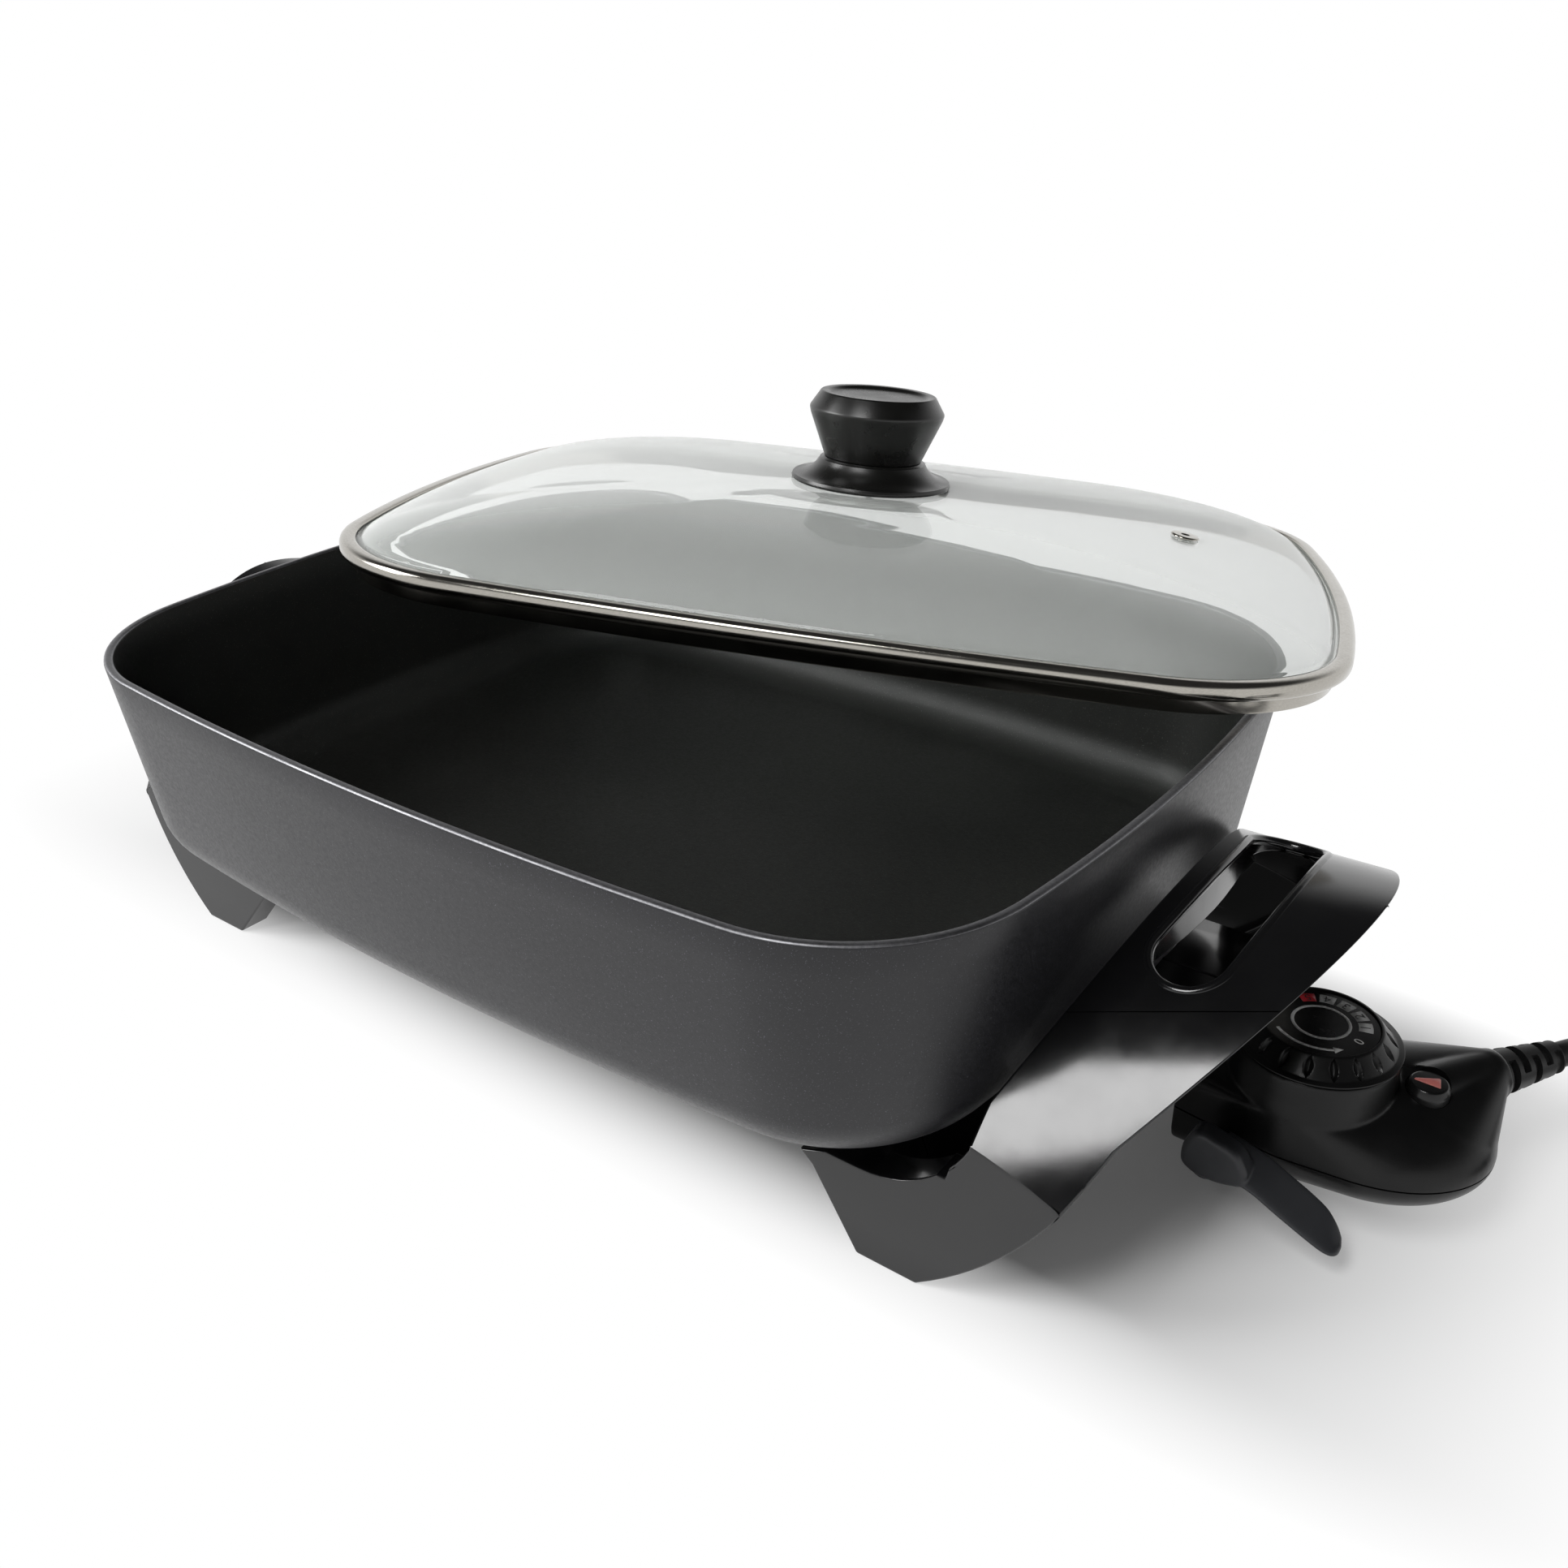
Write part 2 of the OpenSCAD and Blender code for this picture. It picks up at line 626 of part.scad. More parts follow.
// HEAT CONTROL: two shells round the thermostat, plugged in under the right handle
axis_x = end_x + dial_x;
lobe = [15.5, 9.5, 27];
lobe_long = 1.2;
lobe_h = 19;
belly = [24.5, 25.3, 17];
nose_w = 42;
nose_l = 17;
nose_r = 7;
nose_low = 11;
nose_high = 42;
module at_control() {
  translate([axis_x, 0, 0]) children();
}
// Housing, its surface moved in by t
module housing(t) {
  hull() {
    translate(lobe) scale([lobe_long * lobe_r - t, lobe_r - t, lobe_h - t]) sphere(1, $fn = 40);
    translate([0, 0, lobe[2]]) scale([belly[0] - t, belly[1] - t, belly[2] - t]) sphere(1, $fn = 40);
    translate([0, 0, lobe[2]]) cylinder(r = belly[1] - t, h = turret_low - lobe[2] + over - t, $fn = 48);
    for (y = [-1, 1], z = [nose_low + nose_r, nose_high - nose_r])
      translate([nose_x - axis_x + t, y * (nose_w / 2 - nose_r), z]) rotate([0, 90, 0])
        cylinder(r = nose_r - t, h = nose_l, $fn = 24);
  }
}
module half_space(z0, z1) {
  translate([-reach, -reach, z0]) cube([2 * reach, 2 * reach, z1 - z0]);
}
// Along the cord's way out, from a place inside the housing
exit_from = [29.6, 11.4, 40.5];
boss_r = 8.6;
boss_l = 30;
boss_from = 9;
stub_r = 5;
stub_l = 6;
module along_exit() {
  at_control() translate(exit_from) rotate([0, 0, cord_angle]) rotate([0, 90, 0]) children();
}
// Screws that join the shells, each with the heights of its pillar's foot and head inside the walls
shell_screws = [[24, -12, 14.5, 39.5], [34, 20, 12.5, 41.5]];
pillar_r = 4;
recess_z = part_z - 8;
turret_low = nose_high - 2;
turret_in = turret_r - shell_t - 3;
post_places = [[-17, 0, nose_low + 1], [10, 0, nose_low - 0.5]];
pilot = [32.3, 9.1];
pilot_top = 48.2;
pilot_low = 41.5;
block_z = 19;
block = [41, 30];
block_top = probe_z - probe_r - 0.6;
lever_x = -18;
lever_z = 21;
hub_y0 = -belly[1] - 0.8;
// Ways into the nose for the probe and the terminals
module nose_bores() {
  translate([nose_x - axis_x - over, 0, probe_z]) rotate([0, 90, 0]) {
    cylinder(r = probe_r + run, h = 3 * shell_t);
    for (y = [-pin_y, pin_y]) translate([0, y, 0]) cylinder(r = pin_r + gap, h = 3 * shell_t);
  }
}
module control_cover() {
  color("#1b1b1d") difference() {
    union() {
      at_control() difference() {
        union() {
          housing(0);
          translate([0, 0, turret_low]) cylinder(r = turret_r, h = turret_z - turret_low);
        }
        housing(shell_t);
        translate([0, 0, turret_low - over])
          cylinder(r = turret_in, h = turret_z - shell_t - turret_low + over);
        half_space(0, part_z);
      }
      along_exit() translate([0, 0, boss_from]) cylinder(r = boss_r, h = boss_l - boss_from);
      at_control() for (p = shell_screws)
        translate([p[0], p[1], part_z]) cylinder(r = pillar_r, h = p[3] - part_z);
    }
    at_control() {
      cylinder(r = spindle_r + run, h = 100);
      translate([pilot[0], pilot[1], pilot_low - 5]) cylinder(r = bezel_r + run, h = 30);
      for (p = shell_screws)
        translate([p[0], p[1], part_z - over]) cylinder(r = screw_r + run, h = 10 + over);
      nose_bores();
    }
    along_exit() translate([0, 0, boss_from - over])
      cylinder(r = stub_r + run, h = boss_l - boss_from + 2 * over);
  }
}
module control_base() {
  color("#1b1b1d") at_control() difference() {
    union() {
      difference() {
        housing(0);
        housing(shell_t);
        half_space(part_z, 100);
      }
      for (p = post_places)
        translate(p) cylinder(r = pillar_r, h = block_z - p[2]);
      for (p = shell_screws)
        translate([p[0], p[1], p[2]]) cylinder(r = pillar_r, h = part_z - p[2]);
    }
    for (p = shell_screws) {
      translate([p[0], p[1], 0]) cylinder(r = screw_r + run, h = 50);
      translate([p[0], p[1], 0]) cylinder(r = small_head_r + seat, h = recess_z);
    }
    nose_bores();
    translate([lever_x, hub_y0, lever_z]) rotate([-90, 0, 0]) cylinder(r = pin_r + run, h = pin_in + over);
  }
}
module control_screws() {
  color("#8a8c90") at_control() for (p = shell_screws)
    translate([p[0], p[1], recess_z]) {
      translate([0, 0, -screw_head_h]) cylinder(r = small_head_r, h = screw_head_h);
      cylinder(r = screw_r, h = 16);
    }
}
lens_r = bezel_r - 2.2;
lens_h = 3.5;
// Pointed lens, its tip towards the dial
module lens_shape(r) {
  rotate(180 + atan(pilot[1] / pilot[0])) circle(r, $fn = 3);
}
module pilot_bezel() {
  color("#141415") at_control() translate([pilot[0], pilot[1], pilot_low]) difference() {
    union() {
      cylinder(r = bezel_r, h = pilot_top - pilot_low - 1.5);
      translate([0, 0, pilot_top - pilot_low - 1.5]) cylinder(r1 = bezel_r, r2 = bezel_r - 1.5, h = 1.5);
    }
    translate([0, 0, -over]) linear_extrude(20) lens_shape(lens_r + seat);
  }
}
module pilot_lens() {
  color("#d8504a") at_control() translate([pilot[0], pilot[1], pilot_top - lens_h]) linear_extrude(lens_h)
    lens_shape(lens_r);
}
module pilot_lamp() {
  lamp_h = 8;
  color("#e8b48a") at_control() translate([pilot[0], pilot[1], pilot_top - lens_h - gap - lamp_h])
    cylinder(r = 2.2, h = lamp_h);
}
rod_in = 20;
rod_from = 20;
rod_tip = 3;
rod_taper = 1.5;
module probe_rod() {
  color("#b4b5b7") translate([well_x0 + rod_from, 0, probe_z]) rotate([0, 90, 0]) {
    cylinder(r1 = probe_r - rod_taper, r2 = probe_r, h = rod_tip);
    translate([0, 0, rod_tip]) cylinder(r = probe_r, h = nose_x + rod_in - well_x0 - rod_from - rod_tip);
  }
}
socket_r = 4;
socket_l = 18;
socket_bore = 16;
socket_gap = 0.5;
module pin_sockets() {
  color("#c9a24a") for (y = [-pin_y, pin_y])
    translate([nose_x + shell_t + socket_gap, y, probe_z]) rotate([0, 90, 0]) difference() {
      cylinder(r = socket_r, h = socket_l);
      translate([0, 0, -over]) cylinder(r = pin_r + seat, h = socket_bore);
    }
}
module thermostat_block() {
  color("#d8d4c8") at_control() translate([-24, -block[1] / 2, block_z])
    cube([block[0], block[1], block_top - block_z]);
}
module contact_leaf() {
  color("#c9a24a") at_control() translate([-10, -4, block_top]) cube([26, 8, 0.9]);
}
pin_in = 9;
lever_bore = paddle_w - 2.5;
module lever_pin() {
  color("#b4b5b7") at_control() translate([lever_x, hub_y0, lever_z]) rotate([90, 0, 0]) {
    translate([0, 0, -pin_in]) cylinder(r = pin_r, h = pin_in + lever_bore - 2 * run);
  }
}
// Lever: an upright hub that stands clear of the housing, and a paddle that slopes down and towards the user
hub_t = 7;
hub_corners = [[-21, 33], [-22, 22], [-17, 20], [-11, 21.5]];
hub_edge_r = 3;
paddle_from = [-10.5, 25];
paddle_tip = [26.5, 11.5];
paddle_t = 3;
paddle_roll = 20;
module release_lever() {
  color("#232326") at_control() difference() {
    union() {
      hull() for (c = hub_corners)
        translate([c[0], hub_y0 - paddle_w + hub_t, c[1]]) rotate([90, 0, 0])
          cylinder(r = hub_edge_r, h = hub_t, $fn = 24);
      hull() {
        translate([lever_x, hub_y0, lever_z]) rotate([90, 0, 0])
          cylinder(r = pin_r + 2.5, h = paddle_w, $fn = 32);
        translate([paddle_from[0], hub_y0, paddle_from[1]]) rotate([90, 0, 0])
          cylinder(r = paddle_t / 2, h = paddle_w, $fn = 16);
      }
      hull() {
        translate([paddle_from[0], hub_y0, paddle_from[1]]) rotate([90, 0, 0])
          cylinder(r = paddle_t / 2, h = paddle_w, $fn = 16);
        translate([paddle_tip[0] - paddle_w / 2, hub_y0 - paddle_w / 2, paddle_tip[1]])
          rotate([paddle_roll, paddle_roll, 0])
            cylinder(r = paddle_w / 2, h = paddle_t, center = true, $fn = 40);
      }
    }
    translate([lever_x, hub_y0 + over, lever_z]) rotate([90, 0, 0])
      cylinder(r = pin_r + run, h = lever_bore + over);
  }
}

// Dial, its printed disc and its spindle
dial_z = turret_z + gap;
dial_top = dial_z + dial_h;
skirt_t = 0.8;
cone_low_r = dial_r - 2;
cone_top_r = disc_r + 1;
module dial() {
  lean = atan((cone_low_r - cone_top_r) / (dial_h - skirt_t));
  color("#1b1b1d") at_control() difference() {
    union() {
      translate([0, 0, dial_z]) cylinder(r = dial_r, h = skirt_t);
      translate([0, 0, dial_z + skirt_t]) cylinder(r1 = cone_low_r, r2 = cone_top_r, h = dial_h - skirt_t);
    }
    translate([0, 0, dial_top - 1]) cylinder(r = disc_r + seat, h = 2);
    translate([0, 0, dial_z - over]) cylinder(r = spindle_r + run, h = dial_h - 2 + over);
    for (i = [0:scallops - 1])
      rotate([0, 0, i * 360 / scallops]) translate([cone_low_r + 0.6, 0, dial_z + skirt_t + 0.6])
        rotate([0, -lean, 0]) cylinder(r = 1.4, h = 20, $fn = 24);
  }
}
module dial_disc() {
  color("#0e0e0f") at_control() translate([0, 0, dial_top - 1]) cylinder(r = disc_r, h = 1);
}
spindle_low = block_top + 0.9 + gap;
module dial_spindle() {
  color("#b4b5b7") at_control() translate([0, 0, spindle_low])
    cylinder(r = spindle_r, h = dial_top - 2 - run - spindle_low);
}

// LEAD: strain relief, free cord, coil with its tie, and plug
relief_ribs = 6;
relief_r0 = 7.6;
relief_r1 = 5.3;
module strain_relief() {
  pitch = relief_l / relief_ribs;
  color("#19191a") along_exit() rotate_extrude() polygon(concat(
    [[0, boss_l - stub_l], [stub_r, boss_l - stub_l], [stub_r, boss_l]],
    [
      for (i = [0:relief_ribs - 1])
        let (z = boss_l + i * pitch, r = relief_r0 + (relief_r1 - relief_r0) * i / (relief_ribs - 1))
          each [[r, z + seat], [r, z + 0.62 * pitch], [r - 1.1, z + 0.62 * pitch], [r - 1.1, z + pitch]]
    ],
    [[0, boss_l + relief_l]]
  ));
}
cord_r = cord_d / 2;
exit_l = boss_l + relief_l + 2 * seat;
exit_dir = [cos(cord_angle), sin(cord_angle), 0];
cord_exit = [axis_x, 0, 0] + exit_from + exit_l * exit_dir;
lay_z = cord_r + 1.25;
layer = cord_d + 0.7;
coil_mid = [412, 66];
coil_start = [coil_mid[0], coil_mid[1] + coil_r, lay_z];
// Route of the free cord from the strain relief down to the worktop, in whole millimetres or halves
cord_route = concat(
  [cord_exit, cord_exit + 8 * exit_dir],
  [
    [324.5, 84, 36.5], [333.5, 95.5, 31.5], [345, 104.5, 24.5], [358, 109.5, 16.5], [371, 111.5, 10],
    [384, 112, 6.5], [395, 112, 5.5]
  ],
  [coil_start - [cord_d, 0, 0]]
);
// Points of a smooth curve through the route, k steps between each two points
function smooth(p, k) = [
  for (i = [0:len(p) - 2], j = [0:k - 1])
    let (
      a = p[max(i - 1, 0)], b = p[i], c = p[i + 1], d = p[min(i + 2, len(p) - 1)], t = j / k
    ) b + 0.5 * t * ((c - a) + t * ((2 * a - 5 * b + 4 * c - d) + t * (3 * b - a - 3 * c + d))),
  p[len(p) - 1]
];
function unit(v) = v / norm(v);
// Rings of n points square to a path, all seen from the same side
function tube_rings(path, r, n) = [
  for (i = [0:len(path) - 1])
    let (
      t = unit(path[min(i + 1, len(path) - 1)] - path[max(i - 1, 0)]),
      u = unit(cross([0, 0, 1], t)),
      v = cross(t, u)
    ) [for (k = [0:n - 1]) path[i] + r * (cos(360 * k / n) * u + sin(360 * k / n) * v)]
];
module cord() {
  color("#161617") loft(tube_rings(smooth(cord_route, 3), cord_r, 10));
}
// Coil: in for some turns, up a layer in half a turn, out again
coil_pitch = cord_d + 0.9;
coil_turns = 1.25;
coil_steps = 24;
climb_dip = 1.6;
function coil_radius(t) =
  t < coil_turns ? coil_r - coil_pitch * t
  : t < coil_turns + 0.5 ? coil_r - coil_pitch * coil_turns - climb_dip * sin(360 * (t - coil_turns))
  : coil_r - coil_pitch * (2 * coil_turns + 0.5 - t);
function coil_height(t) =
  t < coil_turns ? 0
  : t < coil_turns + 0.5 ? layer * (1 - cos(360 * (t - coil_turns))) / 2
  : layer;
coil_n = round((2 * coil_turns + 0.5) * coil_steps);
coil_points = [
  for (i = [0:coil_n])
    let (t = i / coil_steps, a = 90 - 360 * t, r = coil_radius(t))
      [coil_mid[0] + r * cos(a), coil_mid[1] + r * sin(a), lay_z + coil_height(t)]
];
coil_end = coil_points[coil_n];
// Straight end between the coil and the plug
lead_out = 22;
coil_path = concat(
  [coil_start - [cord_d, 0, 0]],
  coil_points,
  [coil_end + [cord_d, 0, 0], coil_end + [lead_out, 0, 0]]
);
// Least gap between turns, on points more than half a turn apart
coil_gaps = [
  for (i = [0:coil_n], j = [i + coil_steps / 2:1:coil_n]) norm(coil_points[i] - coil_points[j]) - cord_d
];
echo(least_gap_in_coil = min(coil_gaps));
function path_length(p) = [for (i = [1:len(p) - 1]) norm(p[i] - p[i - 1])] * [for (i = [1:len(p) - 1]) 1];
echo(cord_length = path_length(smooth(cord_route, 3)) + path_length(coil_path));
module cord_coil() {
  color("#161617") loft(tube_rings(coil_path, cord_r, 6));
}
tie_t = 1;
tie_w = 6;
module coil_tie() {
  low = coil_r - coil_pitch * coil_turns - cord_r - gap;
  wide = coil_r - low + cord_r;
  high = lay_z + layer + cord_r + gap;
  color("#2b2b2d") translate([coil_mid[0] + low - tie_t, coil_mid[1], 0]) rotate([90, 0, 0])
    linear_extrude(tie_w, center = true) difference() {
      square([wide + 2 * tie_t, high + tie_t]);
      translate([tie_t, tie_t]) square([wide, high - tie_t]);
    }
}
plug_x = coil_end[0] + lead_out + seat;
plug_grip_l = 24;
plug_head_l = 18;
plug_head_w = 36;
plug_half_h = coil_end[2] - 0.2;
module plug_body() {
  color("#161617") translate([plug_x, coil_end[1], coil_end[2]]) {
    hull() {
      rotate([0, 90, 0]) cylinder(r = cord_r + 1, h = 2, $fn = 32);
      translate([plug_grip_l, 0, 0]) rotate([90, 0, 90]) linear_extrude(2)
        rounded_rect(plug_head_w - 10, 2 * plug_half_h - 6, 6);
    }
    hull() {
      translate([plug_grip_l, 0, 0]) rotate([90, 0, 90]) linear_extrude(2)
        rounded_rect(plug_head_w - 2, 2 * plug_half_h - 2, 8);
      translate([plug_grip_l + 3, 0, 0]) rotate([90, 0, 90]) linear_extrude(plug_head_l - 3)
        rounded_rect(plug_head_w, 2 * plug_half_h, 9);
    }
  }
}
pin_l = 17;
blade = [6.3, 1.6];
module plug_pins() {
  color("#c9b27a") translate([plug_x + plug_grip_l + plug_head_l, coil_end[1], coil_end[2]]) {
    for (y = [-1, 1])
      translate([0, 7.9 * y, 3]) rotate([30 * y, 0, 0]) translate([0, -blade[1] / 2, -blade[0] / 2])
        cube([pin_l, blade[1], blade[0]]);
    translate([0, -blade[1] / 2, -blade[0] - 1.5]) cube([pin_l + 3, blade[1], blade[0]]);
  }
}

pan();
end_piece_right();
end_piece_left();
end_piece_screws();
heating_element();
element_terminals();
terminal_bushes();
terminal_guard();
guard_screws();
probe_well();
lid_glass();
lid_ring();
knob_grip();
knob_collar();
knob_screw();
knob_washer();
steam_vent();
control_cover();
control_base();
control_screws();
pilot_bezel();
pilot_lens();
pilot_lamp();
probe_rod();
pin_sockets();
thermostat_block();
contact_leaf();
lever_pin();
strain_relief();
dial();
dial_disc();
dial_spindle();
release_lever();
cord();
cord_coil();
coil_tie();
plug_body();
plug_pins();
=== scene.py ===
"""Electric skillet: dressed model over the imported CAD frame. Lengths are in millimetres unless named otherwise."""
import math

import bmesh
import bpy
from mathutils import Euler, Matrix, Vector


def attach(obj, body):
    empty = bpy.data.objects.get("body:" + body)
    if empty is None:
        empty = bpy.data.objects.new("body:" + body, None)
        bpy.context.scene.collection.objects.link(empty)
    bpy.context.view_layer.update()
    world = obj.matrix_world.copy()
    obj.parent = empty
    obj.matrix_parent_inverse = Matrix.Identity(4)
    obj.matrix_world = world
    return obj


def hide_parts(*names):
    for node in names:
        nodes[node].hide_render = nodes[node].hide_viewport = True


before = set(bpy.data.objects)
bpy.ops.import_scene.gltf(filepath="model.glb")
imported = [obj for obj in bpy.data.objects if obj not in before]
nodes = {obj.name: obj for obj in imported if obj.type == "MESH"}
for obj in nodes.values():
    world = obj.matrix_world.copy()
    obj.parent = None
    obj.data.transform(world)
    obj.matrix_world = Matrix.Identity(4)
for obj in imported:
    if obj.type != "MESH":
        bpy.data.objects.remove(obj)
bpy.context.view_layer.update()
scene = bpy.context.scene
scene.view_settings.view_transform = "Standard"
MM = 0.001

# CAMERA, fitted to the rim, the feet and the lid
CAM_AT = Vector((345.71, -400.76, 339.72)) * MM
CAM_AZ, CAM_EL, CAM_ROLL = 0.6440, 0.4743, -0.0089
CAM_LENS, CAM_SENSOR = 34.57, 36
cam_back = Vector((math.sin(CAM_AZ) * math.cos(CAM_EL), -math.cos(CAM_AZ) * math.cos(CAM_EL), math.sin(CAM_EL)))
cam_right = Vector((math.cos(CAM_AZ), math.sin(CAM_AZ), 0))
cam_up = cam_back.cross(cam_right)
cam_x = cam_right * math.cos(CAM_ROLL) + cam_up * math.sin(CAM_ROLL)
cam_y = cam_up * math.cos(CAM_ROLL) - cam_right * math.sin(CAM_ROLL)
camera = bpy.data.objects.new("camera", bpy.data.cameras.new("camera"))
camera.data.lens = CAM_LENS
camera.data.sensor_width = CAM_SENSOR
camera.data.clip_start = 0.01
camera.matrix_world = Matrix.Translation(CAM_AT) @ Matrix((cam_x, cam_y, cam_back)).transposed().to_4x4()
scene.collection.objects.link(camera)
scene.camera = camera


# MESH HELPERS
def place(obj, body, replaces=()):
    """Links a finished piece, hangs it on its body and hides the nodes it stands for."""
    if not obj.users_collection:
        scene.collection.objects.link(obj)
    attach(obj, body)
    if replaces:
        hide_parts(*replaces)
    return obj


def linked(name, data):
    """New object in the scene."""
    obj = bpy.data.objects.new(name, data)
    scene.collection.objects.link(obj)
    return obj


def in_metres(matrix):
    """Turn and place of a matrix in mm, for a mesh in metres."""
    return Matrix.Translation(matrix.translation * MM) @ matrix.to_3x3().to_4x4()


def make(name, verts, faces, mats, picks=None, sharp=32, matrix=None):
    """Mesh object from points in mm; picks gives each face's material."""
    mesh = bpy.data.meshes.new(name)
    mesh.from_pydata([Vector(v) * MM for v in verts], [], faces)
    if matrix is not None:
        mesh.transform(in_metres(matrix))
    for m in mats:
        mesh.materials.append(m)
    if picks:
        mesh.polygons.foreach_set("material_index", picks)
    bm = bmesh.new()
    bm.from_mesh(mesh)
    bmesh.ops.recalc_face_normals(bm, faces=bm.faces)
    bm.to_mesh(mesh)
    bm.free()
    return shade(linked(name, mesh), sharp)


def skin(rings, closed=False, caps=(True, True)):
    """Points and faces of a surface through rings of points."""
    m, k = len(rings[0]), len(rings)
    verts = [p for r in rings for p in r]
    faces = []
    for j in range(k if closed else k - 1):
        a, b = j * m, (j + 1) % k * m
        faces += [(a + i, a + (i + 1) % m, b + (i + 1) % m, b + i) for i in range(m)]
    if not closed and caps[0]:
        faces.append(tuple(range(m - 1, -1, -1)))
    if not closed and caps[1]:
        faces.append(tuple((k - 1) * m + i for i in range(m)))
    return verts, faces


LATHE_MIN_R = 0.01


def lathe(profile, n=96):
    """Rings of a turned shape; profile is a row of (radius, z)."""
    turn = [(math.cos(2 * math.pi * i / n), math.sin(2 * math.pi * i / n)) for i in range(n)]
    return [[(max(r, LATHE_MIN_R) * c, max(r, LATHE_MIN_R) * s, z) for c, s in turn] for r, z in profile]


def polar(r, degrees, mid=(0, 0)):
    """Flat point at a radius and an angle round a middle."""
    a = math.radians(degrees)
    return (mid[0] + r * math.cos(a), mid[1] + r * math.sin(a))


def rounded(points, radius, steps=4):
    """Open row of 2-D points with its inner corners rounded."""
    out = [Vector(points[0])]
    for a, b, c in zip(points, points[1:], points[2:]):
        a, b, c = Vector(a), Vector(b), Vector(c)
        d = min(radius, (a - b).length * 0.45, (c - b).length * 0.45)
        p, q = b + (a - b).normalized() * d, b + (c - b).normalized() * d
        for i in range(steps + 1):
            t = i / steps
            out.append(p * (1 - t) ** 2 + b * 2 * t * (1 - t) + q * t * t)
    out.append(Vector(points[-1]))
    return [tuple(v) for v in out]


def smooth_path(points, k):
    """Points of a smooth curve through a route, k steps between each two points."""
    p = [Vector(v) for v in points]
    out = []
    for i in range(len(p) - 1):
        a, b, c, d = p[max(i - 1, 0)], p[i], p[i + 1], p[min(i + 2, len(p) - 1)]
        for j in range(k):
            t = j / k
            out.append(b + 0.5 * t * ((c - a) + t * ((2 * a - 5 * b + 4 * c - d) + t * (3 * b - a - 3 * c + d))))
    out.append(p[-1])
    return out


def evaluated(obj):
    """Mesh of an object with its modifiers worked in."""
    bpy.context.view_layer.update()
    graph = bpy.context.evaluated_depsgraph_get()
    return bpy.data.meshes.new_from_object(obj.evaluated_get(graph))


def worked(obj, *mods):
    """Adds modifiers, given as (type, settings), and works them into the mesh."""
    for kind, settings in mods:
        mod = obj.modifiers.new(kind.lower(), kind)
        for key, value in settings.items():
            setattr(mod, key, value)
    old, obj.data = obj.data, evaluated(obj)
    obj.modifiers.clear()
    bpy.data.meshes.remove(old)


def drop(*objs):
    for o in objs:
        bpy.data.objects.remove(o, do_unlink=True)


def cut(obj, *cutters):
    """Takes cutters away from obj, and deletes them."""
    worked(obj, *[("BOOLEAN", {"operation": "DIFFERENCE", "object": c, "solver": "EXACT"}) for c in cutters])
    drop(*cutters)


def shade(obj, sharp):
    """Smooth shading with sharp edges above an angle in degrees."""
    obj.data.shade_smooth()
    obj.data.set_sharp_from_angle(angle=math.radians(sharp))
    return obj


def tube(name, line, radius, mat, closed=False, resolution=6):
    """Round bar along a row of points, all in metres; not linked yet."""
    curve = bpy.data.curves.new(name, "CURVE")
    curve.dimensions = "3D"
    curve.bevel_depth = radius
    curve.bevel_resolution = resolution
    curve.use_fill_caps = not closed
    track = curve.splines.new("POLY")
    track.points.add(len(line) - 1)
    track.use_cyclic_u = closed
    for point, v in zip(track.points, line):
        point.co = (*v, 1)
    curve.materials.append(mat)
    return bpy.data.objects.new(name, curve)


# MATERIALS
NOISE_BAND, CLOUD_BAND = (0.3, 0.7), (0.35, 0.65)


class Nodes:
    """Small helper over a material's node tree."""

    def __init__(self, name):
        self.mat = bpy.data.materials.new(name)
        self.mat.use_nodes = True
        self.tree = self.mat.node_tree
        self.shader = self.tree.nodes["Principled BSDF"]
        self.out = self.tree.nodes["Material Output"]
        self.where = self.tree.nodes.new("ShaderNodeTexCoord").outputs["Object"]

    def add(self, kind, inputs=(), **settings):
        n = self.tree.nodes.new(kind)
        for key, value in settings.items():
            setattr(n, key, value)
        for key, value in dict(inputs).items():
            if isinstance(value, bpy.types.NodeSocket):
                self.tree.links.new(value, n.inputs[key])
            else:
                n.inputs[key].default_value = value
        return n

    def link(self, socket, to):
        self.tree.links.new(socket, self.shader.inputs[to])

    def noise(self, scale, detail=3.0, rough=0.55, where=None):
        ins = {"Vector": where or self.where, "Scale": scale, "Detail": detail, "Roughness": rough}
        return self.add("ShaderNodeTexNoise", ins).outputs["Fac"]

    def span(self, socket, low, high, to_low, to_high):
        n = self.add("ShaderNodeMapRange", {0: socket, 1: low, 2: high, 3: to_low, 4: to_high})
        return n.outputs[0]

    def mix(self, fac, a, b):
        a, b = [(*c, 1) if isinstance(c, tuple) else c for c in (a, b)]
        return self.add("ShaderNodeMix", {0: fac, 6: a, 7: b}, data_type="RGBA").outputs[2]

    def bump(self, height, strength, distance_mm):
        ins = {"Height": height, "Strength": strength, "Distance": distance_mm * MM}
        return self.add("ShaderNodeBump", ins).outputs["Normal"]

    def fixed(self, **values):
        """Sets the sockets that have one value all over the surface."""
        names = {
            "metallic": "Metallic", "specular": "Specular IOR Level", "sheen": "Sheen Weight",
            "ior": "IOR", "transmission": "Transmission Weight", "subsurface": "Subsurface Weight",
        }
        for key, value in values.items():
            self.shader.inputs[names[key]].default_value = value


def moulded(name, dark, light, rough, grain_mm, grain, specular=0.5):
    """Moulded plastic: cloudy colour, fine pebbled grain, roughness that wanders a little."""
    n = Nodes(name)
    n.link(n.mix(n.span(n.noise(35), *CLOUD_BAND, 0, 1), dark, light), "Base Color")
    n.link(n.span(n.noise(90, 4), *NOISE_BAND, *rough), "Roughness")
    n.link(n.bump(n.noise(1 / (grain_mm * MM), 2), grain, 0.15), "Normal")
    n.fixed(specular=specular)
    return n.mat


